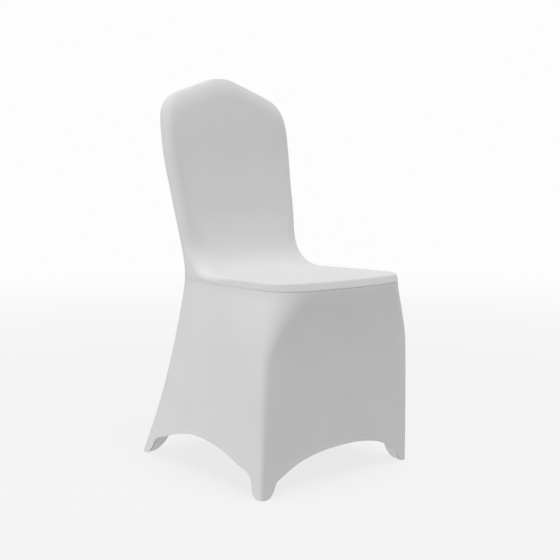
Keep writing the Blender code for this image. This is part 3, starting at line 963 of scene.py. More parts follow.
def join_grids(name: str, grids: list[Grid]) -> bpy.types.Object:
    """One sheet from grids that share their borders.

    Args:
        name: the piece's name.
        grids: the panel's grids.

    Returns:
        The joined piece.
    """
    made = [grid_object(grid) for grid in grids]
    select_only(*made)
    if len(made) > 1:
        bpy.ops.object.join()
    piece = bpy.context.object
    piece.name = name
    piece.data.name = name
    bpy.ops.object.mode_set(mode="EDIT")
    bpy.ops.mesh.select_all(action="SELECT")
    bpy.ops.mesh.remove_doubles(threshold=MERGE_DISTANCE)
    bpy.ops.mesh.dissolve_degenerate(threshold=MERGE_DISTANCE)
    bpy.ops.object.mode_set(mode="OBJECT")
    return piece


def face_outwards(piece: bpy.types.Object, heart: Vector) -> None:
    """Turns a sheet's faces so that they face away from a point inside it.

    Args:
        piece: the open sheet.
        heart: a point on the sheet's inner side.
    """
    select_only(piece)
    bpy.ops.object.mode_set(mode="EDIT")
    bpy.ops.mesh.select_all(action="SELECT")
    bpy.ops.mesh.normals_make_consistent(inside=False)
    bpy.ops.object.mode_set(mode="OBJECT")
    facing = sum(face.area * face.normal.dot(face.center - heart) for face in piece.data.polygons)
    if facing < 0.0:
        bpy.ops.object.mode_set(mode="EDIT")
        bpy.ops.mesh.flip_normals()
        bpy.ops.object.mode_set(mode="OBJECT")


@dataclass
class SeatAndInsideBack(Panel):
    """Panel from the crown down the front of the backrest and over the seat to its seam."""

    name: str = "seat_and_inside_back_cloth"
    stands_for: tuple[str, ...] = ("seat_and_inside_back",)
    heart: tuple[float, float, float] = (0.0, 0.15, 0.30)
    flat: tuple[float, float] = (0.475, 0.985)
    cut_area: float = 0.340

    def grids(self) -> list[Grid]:
        """The face of backrest and seat with its sides, then the crown and the seat's front.

        Returns:
            The three grids.
        """
        front, side = self.seat_lines()
        rows = self.back_lines() + self.sweep_lines() + side
        main = [self.face_row(line) + line.spots() for line in rows]
        crown = [line.spots() for line in self.crown_lines()]
        return [main, crown, [line.spots() for line in front]]

    def face_row(self, line: EdgeLine) -> list[Spot]:
        """Spots of the face from its centre to an edge line's inner end.

        Args:
            line: the edge line.

        Returns:
            The spots before the line's own.
        """
        steps = [step / FACE_COLUMNS for step in range(FACE_COLUMNS)]
        places = [Vector((line.inner.x * step, line.inner.y)) for step in steps]
        return [Spot(line.lift(place), line.spread(place)) for place in places]

    def on_back(self, place: Vector) -> Vector:
        """Point of the backrest's front face from its x and z."""
        return Vector((place.x, self.form.front_y.at(place.y), place.y))

    def on_sweep(self, place: Vector) -> Vector:
        """Point of the sweep from its x and its share."""
        return self.form.sweep_point(place.x, place.y)

    def on_seat(self, place: Vector) -> Vector:
        """Point of the seat's top from its x and y."""
        return raised(place, self.form.seat_height(place.x, place.y))

    def sweep_start(self) -> float:
        """Length of flat cloth from the crown down to the sweep."""
        return BACK_OUTLINE[0].z - self.form.outline_at(self.form.back_end_share).y

    def spread_sweep(self, place: Vector) -> Vector:
        """Place on the flat cloth of a point of the sweep."""
        return Vector((place.x, self.sweep_start() + self.form.sweep_length * place.y))

    def spread_seat(self, place: Vector) -> Vector:
        """Place on the flat cloth of a point of the seat."""
        behind = self.sweep_start() + self.form.sweep_length
        return Vector((place.x, behind + self.form.seat_rear_y - place.y))

    def back_line(self, share: float, inner: Vector) -> EdgeLine:
        """Edge line of the backrest.

        Args:
            share: share of the backrest's outline.
            inner: flat place (x, z) where the line starts.

        Returns:
            The line.
        """
        form = self.form
        outline = form.outline_at(share)
        inward = form.outline_inward(share)
        across = blend(form.edge_across.at(outline.y), form.crown_rounding, max(0.0, -inward.y))
        seam_y = form.rear_y.at(outline.y) - form.rear_radius - form.rear_straight - HALF_GAP
        outward = form.back_outward(share)
        return EdgeLine(
            inner=inner,
            face_edge=outline + inward * across,
            lift=self.on_back,
            spread=form.back_spread,
            spread_out=Vector((-inward.x, inward.y)),
            outward=outward,
            inward=-outward.normalized(),
            normal=Vector((0.0, -1.0, 0.0)),
            radius=(across, form.edge_deep.at(outline.y)),
            seam=Vector((outline.x, seam_y, outline.y)),
            seam_back=Vector((0.0, -1.0, 0.0)),
            seam_roll=form.back_seam_roll,
        )

    def shape_cloth(self, piece: bpy.types.Object, hem: list[Vector]) -> None:
        """Shapes the cloth as any panel's, and lets it bridge the corner at each side of the waist.

        Args:
            piece: the open sheet.
            hem: points along the hem of one half.
        """
        super().shape_cloth(piece, hem)
        shift = Vector((0.0, CENTRE_SHIFT_Y, 0.0))
        lines = self.back_lines()[-WAIST_LINES:] + self.sweep_lines()
        middle = FACE_RINGS + ROUND_STEPS // 2
        corner = np.array([tuple(line.spots()[middle].point + shift) for line in lines])
        seam = np.array([tuple(line.seam + shift) for line in lines])
        points = read_points(piece.data)
        one_side = np.abs(points) * (1, 0, 0) + points * (0, 1, 1)
        near = np.clip(1.0 - distance_to_line(one_side, corner) / WAIST_EASE_WIDTH, 0.0, 1.0)
        clear = distance_to_line(one_side, seam) / WAIST_EASE_CLEAR - WAIST_HELD_SHARE
        ease_surface(piece.data, near * np.clip(clear, 0.0, 1.0))

    def crown_lines(self) -> list[EdgeLine]:
        """Edge lines over the crown, from its centre to the shoulder.

        Returns:
            The lines, one for each column of the face.
        """
        form = self.form
        reach = form.outline_at(form.shoulder_share).x * form.face_share
        return [self.back_line(share, inner) for share, inner in form.crown_starts(reach)]

    def back_lines(self) -> list[EdgeLine]:
        """Edge lines down the side of the backrest, from the shoulder.

        Returns:
            The lines, from the shoulder down.
        """
        form = self.form
        lines = []
        for row in range(BACK_ROWS + 1):
            share = form.back_share(row)
            inner = Vector((form.outline_at(share).x * form.face_share, form.back_inner_z(row)))
            lines.append(self.back_line(share, inner))
        return lines

    def sweep_lines(self) -> list[EdgeLine]:
        """Edge lines round the inside of the waist, between the backrest's and the seat's.

        Returns:
            The lines, from the backrest to the seat.
        """
        form = self.form
        level = form.skirt_level(form.seat_seam_z)
        top = form.outline_at(form.back_end_share)
        seat_edge = form.side_point(level, self.side_share(level, form.seat_rear_y))
        waist_z = form.seat_seam_z + HALF_GAP
        waist = form.rear_seam(form.seat_seam_z, -HALF_GAP)
        last_radius = form.edge_radius.at(form.seat_rear_y)
        lines = []
        waist_step = FILLET_STEPS // 2
        beside_waist = (waist_step - WAIST_CORNER_STEP, waist_step + WAIST_CORNER_STEP)
        for step in sorted((*range(1, FILLET_STEPS), *beside_waist)):
            share = step / FILLET_STEPS
            up = max(0.0, 1.0 - 2.0 * share)
            forward = max(0.0, 2.0 * share - 1.0)
            seam_z = blend(waist_z, top.y, up)
            seam = raised(form.rear_seam(seam_z, -HALF_GAP), seam_z)
            seam_back = Vector((0.0, -1.0, 0.0))
            seam_roll = form.back_seam_roll
            if up == 0.0:
                seam_y = blend(waist.y, form.seat_rear_y, forward)
                seam = raised(form.side_point(level, self.side_share(level, seam_y)), waist_z)
                seam_back = Vector((0.0, 0.0, 1.0))
                seam_roll = form.edge_roll.at(seam_y)
            if abs(step - waist_step) < 1.0:
                seam_back = Vector((0.0, -1.0, 1.0))
            eased = share ** form.sweep_ease
            across = blend(BACK_EDGE[0].across, last_radius, eased)
            edge_x = blend(top.x, seat_edge.x - form.rim_lean_side * share, share) - across
            inner_x = blend(top.x * form.face_share, form.seat_inner_x, share)
            line = EdgeLine(
                inner=Vector((inner_x, share)),
                face_edge=Vector((edge_x, share)),
                lift=self.on_sweep,
                spread=self.spread_sweep,
                spread_out=Vector((1.0, 0.0)),
                outward=Vector((1.0, 0.0, 0.0)),
                inward=form.rear_seam_inward(seam_z),
                normal=form.sweep_normal(share),
                radius=(across, blend(BACK_EDGE[0].deep, last_radius, eased)),
                seam=seam,
                seam_back=seam_back,
                seam_roll=seam_roll,
            )
            lines.append(line)
        return lines

    def side_share(self, level: SkirtLevel, y: float) -> float:
        """Share of the side's length at which it reaches a given y.

        Args:
            level: the skirt's sizes at one height.
            y: place along the side, rearwards.

        Returns:
            The share, from the front corner's rounding.
        """
        start = self.form.side_point(level, 0.0)
        end = self.form.side_point(level, 1.0)
        return (y - start.y) / (end.y - start.y)

    def seat_line(self, plan: Vector, outward: Vector, inner: Vector) -> EdgeLine:
        """Edge line of the seat.

        Args:
            plan: point of the seat's outline.
            outward: unit direction out of the seat there.
            inner: flat place (x, y) where the line starts.

        Returns:
            The line.
        """
        form = self.form
        radius = form.edge_radius.at(plan.y)
        lean = blend(form.rim_lean_side, form.rim_lean_front, max(0.0, -outward.y) ** 2)
        return EdgeLine(
            inner=inner,
            face_edge=plan - outward * (radius + lean),
            lift=self.on_seat,
            spread=self.spread_seat,
            spread_out=Vector((outward.x, -outward.y)),
            outward=raised(outward, 0.0),
            inward=-raised(outward, 0.0),
            normal=Vector((0.0, 0.0, 1.0)),
            radius=(radius, radius),
            seam=raised(plan, form.seat_seam_z + HALF_GAP),
            seam_back=Vector((0.0, 0.0, 1.0)),
            seam_roll=form.edge_roll.at(plan.y),
            turn=math.pi / 2 - math.atan2(lean, form.seat_edge_z - form.seat_seam_z - radius / 2),
        )

    def seat_lines(self) -> tuple[list[EdgeLine], list[EdgeLine]]:
        """Edge lines of the seat.

        Returns:
            The lines of the front up to its corner, then those from the waist to that corner.
        """
        form = self.form
        level = form.skirt_level(form.seat_seam_z)
        straight = FACE_COLUMNS - CORNER_STEPS // 2
        rear_share = self.side_share(level, form.seat_rear_y)
        plan = [form.front_point(level, step / straight) for step in range(straight)]
        plan += [form.corner_point(level, step / CORNER_STEPS) for step in range(CORNER_STEPS + 1)]
        side = [rear_share * step / SIDE_STEPS for step in range(1, SIDE_STEPS + 1)]
        plan += [form.side_point(level, share) for share in side]
        side_rows = len(plan) - 1 - FACE_COLUMNS
        lines = []
        for index, point in enumerate(plan):
            if index <= FACE_COLUMNS:
                inner = Vector((form.seat_inner_x * index / FACE_COLUMNS, form.seat_inner_front_y))
            else:
                row = (index - FACE_COLUMNS) / side_rows
                inner_y = blend(form.seat_inner_front_y, form.seat_rear_y, row)
                inner = Vector((form.seat_inner_x, inner_y))
            lines.append(self.seat_line(point, outward_at(plan, index), inner))
        return lines[:FACE_COLUMNS + 1], lines[FACE_COLUMNS:][::-1]


def rows_to_hem(top: float, hem: float) -> list[float]:
    """Heights of a column's rows from a top row down to its hem.

    Args:
        top: height of the row just above.
        hem: height of the hem in this column.

    Returns:
        The heights below top, the last one at the hem.
    """
    low = hem + HEM_ROWS[0]
    drop = [blend(top, low, step / DROP_ROWS) for step in range(1, DROP_ROWS)]
    return drop + [hem + above for above in HEM_ROWS]


def leg_roll(z: float) -> float:
    """Share of the seam's roll and allowance that is left at a height, none inside the pockets."""
    return smooth_step(z, LEG_ROLL_START_Z, LEG_ROLL_FULL_Z)


def with_run(points: list[Vector]) -> list[Spot]:
    """Spots of one row, with the cloth's place across it from the lengths between its points.

    Args:
        points: the row's points.

    Returns:
        The spots, in the same order.
    """
    across = 0.0
    spots = []
    before = points[0]
    for point in points:
        across += (point - before).length
        before = point
        spots.append(Spot(point, Vector((across, BACK_OUTLINE[0].z - point.z))))
    return spots


@dataclass
class OutsideBack(Panel):
    """Panel down the rear of the backrest and between the rear legs to the rear hem."""

    name: str = "outside_back_cloth"
    stands_for: tuple[str, ...] = ("outside_back",)
    heart: tuple[float, float, float] = (0.0, -0.20, 0.50)
    hemmed: bool = True
    flat: tuple[float, float] = (0.460, 0.965)
    cut_area: float = 0.340

    def face_shares(self) -> list[float]:
        """Places of the columns, from the centre (0) to the rear corner's rounding (1).

        Returns:
            The places, in order.
        """
        whole = SKIRT_LEVELS[0].rear_x
        inner = [blend(whole, REAR_INNER, step / FACE_COLUMNS) for step in range(FACE_COLUMNS + 1)]
        places = inner + list(REAR_TONGUE_COLUMNS)
        return [(whole - place) / (whole - self.form.rear_radius) for place in places]

    def on_rear(self, place: Vector) -> Vector:
        """Point of the backrest's rear face from its x and z."""
        return Vector((place.x, self.form.rear_y.at(place.y), place.y))

    def rounding(
        self,
        flat_end: Vector,
        to_corner: Vector,
        start: Vector,
        edge: Vector,
        inward: Vector,
        roll: float,
        depth: float,
    ) -> list[Vector]:
        """Points round the panel's edge to its seam allowance.

        Args:
            flat_end: last point of the flat face.
            to_corner: from there to the sharp corner.
            start: where the rounding ends.
            edge: point of the seam line.
            inward: unit direction into the cover.
            roll: how far the seam rolls in.
            depth: depth of the allowance.

        Returns:
            The points after flat_end.
        """
        back = (start - edge).normalized()
        handle = back * self.form.rear_radius * self.form.arc_handle
        first = flat_end + to_corner * self.form.arc_handle
        shares = [step / REAR_ARC_STEPS for step in range(1, REAR_ARC_STEPS + 1)]
        points = [bezier(flat_end, first, start + handle, start, share) for share in shares]
        return points + rolled_edge(edge, back, inward, roll, depth)

    def back_line(self, share: float, inner: Vector) -> list[Spot]:
        """Line from the inner grid's corner column to the seam, on the backrest.

        Args:
            share: share of the backrest's outline.
            inner: flat place (x, z) where the line starts.

        Returns:
            The line's spots.
        """
        form = self.form
        outline = form.outline_at(share)
        inward = form.outline_inward(share)
        edge_place = outline + inward * form.rear_radius
        shares = self.face_shares()[FACE_COLUMNS:]
        parts = [(place - shares[0]) / (1.0 - shares[0]) for place in shares]
        places = [blend(inner, edge_place, part) for part in parts]
        spots = [Spot(self.on_rear(place), form.back_spread(place)) for place in places]
        corner = self.on_rear(outline)
        start = corner - Vector((0.0, form.rear_radius, 0.0))
        edge = start - Vector((0.0, form.rear_straight - HALF_GAP, 0.0))
        into = -form.back_outward(share).normalized()
        last = spots[-1]
        points = self.rounding(
            last.point, corner - last.point, start, edge, into, form.back_seam_roll, SEAM_ALLOWANCE
        )
        return lay_on(spots, points, Vector((-inward.x, inward.y)))

    def low_row(self, heights: list[float]) -> list[Spot]:
        """Row below the backrest, with a height for each of its columns.

        Args:
            heights: one height for each column.

        Returns:
            The row's spots, on to its seam allowance.
        """
        form = self.form
        points = []
        for share, z in zip(self.face_shares(), heights):
            corner, _ = form.rear_corner(z)
            points.append(raised(Vector(((corner.x - form.rear_radius) * share, corner.y)), z))
        z = heights[-1]
        corner, direction = form.rear_corner(z)
        start = raised(corner - direction * form.rear_radius, z)
        edge = raised(form.rear_seam(z, HALF_GAP), z)
        left = leg_roll(z)
        points += self.rounding(
            points[-1],
            raised(corner, z) - points[-1],
            start,
            edge,
            form.rear_seam_inward(z),
            form.back_seam_roll * left,
            SEAM_ALLOWANCE * left,
        )
        return with_run(points)

    def grids(self) -> list[Grid]:
        """The rear face down to its hem, then the crown.

        Returns:
            The two grids.
        """
        form = self.form
        shares = self.face_shares()
        corner_share = shares[FACE_COLUMNS]
        main = []
        for row in range(BACK_ROWS + 1):
            share = form.back_share(row)
            reach = (form.outline_at(share).x - form.rear_radius) * corner_share
            inner = Vector((reach, form.back_inner_z(row)))
            across = [inner.x * place / corner_share for place in shares[:FACE_COLUMNS]]
            places = [Vector((x, inner.y)) for x in across]
            middle = [Spot(self.on_rear(place), form.back_spread(place)) for place in places]
            main.append(middle + self.back_line(share, inner))
        top_z = form.outline_at(form.back_end_share).y
        waist_z = form.seat_seam_z + HALF_GAP
        for step in range(1, FILLET_STEPS // 2 + 1):
            z = blend(top_z, waist_z, 2 * step / FILLET_STEPS)
            main.append(self.low_row([z] * len(shares)))
        whole = SKIRT_LEVELS[0].rear_x
        from_corner = [whole - (whole - form.rear_radius) * place for place in shares]
        columns = [rows_to_hem(waist_z, form.front_hem.at(place)) for place in from_corner]
        for heights in zip(*columns):
            main.append(self.low_row(list(heights)))
        reach = (form.outline_at(form.shoulder_share).x - form.rear_radius) * corner_share
        crown = [self.back_line(share, inner) for share, inner in form.crown_starts(reach)]
        return [main, crown]


@dataclass
class Skirt(Panel):
    """Panel round the front and both sides, from the seat's seam to the arched hem."""

    name: str = "skirt_cloth"
    stands_for: tuple[str, ...] = ("skirt",)
    heart: tuple[float, float, float] = (0.0, 0.0, 0.25)
    hemmed: bool = True
    flat: tuple[float, float] = (1.435, 0.445)
    cut_area: float = 0.485
    creases: tuple[Crease, ...] = (
        Crease((-0.2195, -0.2165, 0.014), (-0.2180, -0.2185, 0.072), 0.0045, 0.0013),
        Crease((-0.2315, -0.1980, 0.020), (-0.2290, -0.1960, 0.085), 0.0060, 0.0006),
    )

    def columns(self) -> list[Column]:
        """Columns of half the skirt.

        Returns:
            The columns, from the front centre to the rear seam.
        """
        form = self.form
        foot = SKIRT_LEVELS[0]
        front_run = foot.corner_x - form.foot_radius
        side_run = SIDE_LENGTH - form.foot_radius
        found = []
        for place in FRONT_COLUMNS:
            share = (foot.corner_x - place) / front_run
            found.append((form.front_point, share, form.front_hem.at(place)))
        for step in range(1, CORNER_STEPS + 1):
            found.append((form.corner_point, step / CORNER_STEPS, FRONT_HEM[0].height))
        for place in SIDE_COLUMNS:
            share = (place - form.foot_radius) / side_run
            found.append((form.side_point, share, form.side_hem.at(place)))
        return found

    def seam_points(self, z: float) -> list[Vector]:
        """Points of the rolled rear edge at one height.

        Args:
            z: the height.

        Returns:
            The points.
        """
        form = self.form
        _, along = form.rear_corner(z)
        edge = raised(form.rear_seam(z, -HALF_GAP), z)
        back = raised(-along, 0.0)
        left = leg_roll(z)
        inward = form.rear_seam_inward(z)
        return rolled_edge(edge, back, inward, form.back_seam_roll * left, SEAM_ALLOWANCE * left)

    def grids(self) -> list[Grid]:
        """Half of the skirt, from the front centre round the corner to the rear seam.

        Returns:
            The one grid.
        """
        form = self.form
        top = form.seat_seam_z - HALF_GAP
        found = self.columns()
        level = form.skirt_level(top)
        edge = [place_on(level, share) for place_on, share, _ in found]
        rear_edge = form.rear_seam(top)
        down = Vector((0.0, 0.0, -1.0))
        rolls = []
        for index, point in enumerate(edge):
            inward = -outward_at(edge, index)
            away = (rear_edge - point).length
            near_rear = smooth_step(away, REAR_ROLL_START, REAR_ROLL_FULL)
            roll = form.edge_roll.at(point.y) * near_rear
            depth = SEAM_ALLOWANCE * near_rear
            points = rolled_edge(raised(point, top), down, raised(inward, 0.0), roll, depth)
            rolls.append(points[::-1])
        roll_heights = [points[0].z for points in zip(*rolls)]
        rows = [list(points) + self.seam_points(z) for points, z in zip(zip(*rolls), roll_heights)]
        first = top - SEAM_FLAT
        hems = [hem for _, _, hem in found]
        columns = [[first] + rows_to_hem(first, hem) for hem in hems]
        for heights in zip(*columns):
            points = []
            for (place_on, share, _), z in zip(found, heights):
                points.append(raised(place_on(form.skirt_level(z), share), z))
            rows.append(points + self.seam_points(heights[-1]))
        return [[with_run(row) for row in rows]]


class FootEnd(Enum):
    """Which end of the chair a foot stands at."""

    FRONT = "front"
    REAR = "rear"


class FootSide(Enum):
    """Which side of the chair a foot stands on, as its name and the sign of its x."""

    LEFT = ("left", -1)
    RIGHT = ("right", 1)


@dataclass
class FootPocket(Panel):
    """Cup of cloth that closes a tongue of the hem round the chair's foot."""

    end: FootEnd = FootEnd.FRONT
    side: FootSide = FootSide.LEFT
    mirrored: bool = False
    flat: tuple[float, float] = (0.105, 0.068)
    cut_area: float = 0.0038
    heart_z: float = 0.03

    def __post_init__(self) -> None:
        """Names the pocket and finds its place."""
        hand, self.sign = self.side.value
        node = f"foot_pocket_{self.end.value}_{hand}"
        self.name = f"{node}_cloth"
        self.stands_for = (node,)
        foot = SKIRT_LEVELS[0]
        radius = self.form.foot_radius
        if self.end is FootEnd.REAR:
            self.heart = (foot.rear_x * self.sign, foot.rear_y - radius, self.heart_z)
        else:
            self.heart = (foot.corner_x * self.sign, foot.corner_y + radius, self.heart_z)

    def tongue_corner(self, z: float) -> tuple[Vector, Vector]:
        """Corner of the tongue at one height, and the direction from it along the side.

        Args:
            z: the height.

        Returns:
            The corner and the unit direction, both in plan.
        """
        level = self.form.skirt_level(z)
        rearwards = self.form.side_direction(level)
        if self.end is FootEnd.REAR:
            return Vector((level.rear_x, level.rear_y)), -rearwards
        return Vector((level.corner_x, level.corner_y)), rearwards

    def path(
        self, pocket: PocketLevel, corner: Vector, across: Vector, along: Vector
    ) -> list[Vector]:
        """Outside of the two inner walls at one height.

        Args:
            pocket: the walls' reach at this height.
            corner: the tongue's corner.
            across: unit direction across the chair.
            along: unit direction along its side.

        Returns:
            Plan points, from the front or rear to the side.
        """
        bend = self.form.pocket_bend
        far = corner + across * pocket.across + along * pocket.along
        start = corner + across * pocket.across + along * pocket.set_in
        end = corner + across * pocket.set_in + along * pocket.along
        bend_start = far - along * bend
        bend_end = far - across * bend
        handle = bend * self.form.arc_handle
        first = bend_start + along * handle
        second = bend_end + across * handle
        shares = [step / POCKET_WALL_STEPS for step in range(POCKET_WALL_STEPS + 1)]
        points = [start.lerp(bend_start, share) for share in shares[:-1]]
        for step in range(POCKET_BEND_STEPS):
            points.append(bezier(bend_start, first, second, bend_end, step / POCKET_BEND_STEPS))
        return points + [bend_end.lerp(end, share) for share in shares]

    def grids(self) -> list[Grid]:
        """Inner walls from their top down and the flat underside.

        Returns:
            The one grid.
        """
        names = PocketLevel._fields[1:]
        reach = [Curve((row.z, getattr(row, name)) for row in POCKET_LEVELS) for name in names]
        across = Vector((-1.0, 0.0))
        rows = []
        for step in range(POCKET_ROWS + 1):
            z = POCKET_LEVELS[0].z * (1.0 - step / POCKET_ROWS) ** POCKET_ROW_EASE
            pocket = PocketLevel(z, *(curve.at(z) for curve in reach))
            corner, along = self.tongue_corner(z)
            rows.append([raised(place, z) for place in self.path(pocket, corner, across, along)])
        corner, along = self.tongue_corner(POCKET_LEVELS[-1].z)
        rows += self.underside(rows[-1], corner, across, along)
        sides = [[Vector((point.x * self.sign, point.y, point.z)) for point in row] for row in rows]
        return [[with_run(row) for row in sides]]

    def underside(
        self, edge: list[Vector], corner: Vector, across: Vector, along: Vector
    ) -> list[list[Vector]]:
        """Rows of the flat underside, from the walls' foot to the tongue's rounded corner.

        Args:
            edge: last row of the walls.
            corner: the tongue's corner.
            across: unit direction across the chair.
            along: unit direction along its side.

        Returns:
            The rows.
        """
        radius = self.form.rear_radius if self.end is FootEnd.REAR else self.form.foot_radius
        inner_radius = radius - POCKET_LEVELS[-1].set_in
        last = []
        for step in range(len(edge)):
            angle = math.pi / 2 * step / (len(edge) - 1)
            inwards = across * (radius - inner_radius * math.sin(angle))
            lengthways = along * (radius - inner_radius * math.cos(angle))
            last.append(raised(corner + inwards + lengthways, 0.0))
        shares = [step / UNDERSIDE_STEPS for step in range(1, UNDERSIDE_STEPS + 1)]
        return [[a.lerp(b, share) for a, b in zip(edge, last)] for share in shares]


@dataclass(frozen=True)
class ClothFinish:
    """Finish of one kind of knitted cloth."""

    name: str
    light: str
    shade: str
    roughness: float
    wale_pitch: float
    course_pitch: float
    relief: float
    relief_strength: float
    loop_share: float
    slub_scale: float
    slub_detail: float
    slub_roughness: float
    specular: float
    sheen: float
    sheen_roughness: float


# Polyester and elastane single jersey, knitted fine and drawn tight: it scatters light evenly, with
# a faint sheen at grazing angles and no gloss.  Its real wales are about 0.6 mm apart, which is
# under a quarter of a pixel here, so they are drawn at 1.3 mm.
STRETCH_JERSEY = ClothFinish(
    name="white_stretch_jersey",
    light="#E9E9E9",
    shade="#E1E1E2",
    roughness=0.88,
    wale_pitch=1.3 * MILLIMETRE,
    course_pitch=1.0 * MILLIMETRE,
    relief=0.12 * MILLIMETRE,
    relief_strength=0.35,
    loop_share=0.35,
    slub_scale=9.0,
    slub_detail=3.0,
    slub_roughness=0.5,
    specular=0.25,
    sheen=0.12,
    sheen_roughness=0.5,
)


def linear(hex_colour: str) -> tuple[float, float, float, float]:
    """Linear RGBA from an sRGB hex colour.

    Args:
        hex_colour: red, green and blue after a #.

    Returns:
        The colour, with an alpha of 1.
    """
    channels = [int(hex_colour[place:place + 2], 16) / 255 for place in (1, 3, 5)]
    values = [c / 12.92 if c <= 0.04045 else ((c + 0.055) / 1.055) ** 2.4 for c in channels]
    return (*values, 1.0)


# Sockets of a Mix node's two colours and of its mixed one
MIX_FIRST = 6
MIX_SECOND = 7
MIX_RESULT = 2


def add_node(
    tree: bpy.types.NodeTree, kind: str, settings: dict | None = None, links: dict | None = None
) -> bpy.types.Node:
    """Adds a node with its settings and links.

    Args:
        tree: the material's node tree.
        kind: the node's type.
        settings: values of its own properties, by name, or of its inputs, by name or index.
        links: output sockets that feed its inputs, by name or index.

    Returns:
        The node.
    """
    node = tree.nodes.new(kind)
    for key, value in (settings or {}).items():
        if isinstance(key, str) and hasattr(node, key):
            setattr(node, key, value)
        else:
            node.inputs[key].default_value = value
    for key, socket in (links or {}).items():
        tree.links.new(socket, node.inputs[key])
    return node


def bare_material(name: str) -> tuple[bpy.types.Material, bpy.types.NodeTree]:
    """New material with no nodes.

    Args:
        name: its name.

    Returns:
        The material and its empty node tree.
    """
    material = bpy.data.materials.new(name)
    material.use_nodes = True
    material.node_tree.nodes.clear()
    return material, material.node_tree


def wave_scale(pitch: float) -> float:
    """Scale that gives a Wave texture's bands a real pitch."""
    return math.pi / 10.0 / pitch


def cloth_material(finish: ClothFinish) -> bpy.types.Material:
    """Material of knitted cloth.

    Args:
        finish: the finish's sizes and colours.

    Returns:
        The material.
    """
    material, tree = bare_material(finish.name)
    place = add_node(tree, "ShaderNodeUVMap", {"uv_map": "Cloth"}).outputs["UV"]
    wales, courses = (
        add_node(
            tree,
            "ShaderNodeTexWave",
            {"bands_direction": axis, "Scale": wave_scale(pitch), "Distortion": 0.0},
            {"Vector": place},
        )
        for axis, pitch in (("X", finish.wale_pitch), ("Y", finish.course_pitch))
    )
    loops = add_node(
        tree,
        "ShaderNodeMath",
        {"operation": "MULTIPLY"},
        {0: wales.outputs["Fac"], 1: courses.outputs["Fac"]},
    )
    where = add_node(tree, "ShaderNodeTexCoord").outputs["Object"]
    slub = add_node(
        tree,
        "ShaderNodeTexNoise",
        {
            "Scale": finish.slub_scale,
            "Detail": finish.slub_detail,
            "Roughness": finish.slub_roughness,
        },
        {"Vector": where},
    )
    share = add_node(
        tree,
        "ShaderNodeMath",
        {"operation": "MULTIPLY_ADD", 1: finish.loop_share},
        {0: loops.outputs[0], 2: slub.outputs["Fac"]},
    )
    colour = add_node(
        tree,
        "ShaderNodeMix",
        {
            "data_type": "RGBA",
            "clamp_factor": True,
            MIX_FIRST: linear(finish.light),
            MIX_SECOND: linear(finish.shade),
        },
        {0: share.outputs[0]},
    )
    bump = add_node(
        tree,
        "ShaderNodeBump",
        {"Strength": finish.relief_strength, "Distance": finish.relief},
        {"Height": loops.outputs[0]},
    )
    surface = add_node(
        tree,
        "ShaderNodeBsdfPrincipled",
        {
            "Roughness": finish.roughness,
            "Metallic": 0.0,
            "Specular IOR Level": finish.specular,
            "Sheen Weight": finish.sheen,
            "Sheen Roughness": finish.sheen_roughness,
        },
        {"Base Color": colour.outputs[MIX_RESULT], "Normal": bump.outputs["Normal"]},
    )
    add_node(tree, "ShaderNodeOutputMaterial", {}, {"Surface": surface.outputs["BSDF"]})
    return material


class Light(NamedTuple):
    """Distant soft light: its strength, where it comes from and how broad it is in degrees."""

    name: str
    strength: float
    comes_from: tuple[float, float, float]
    angle: float


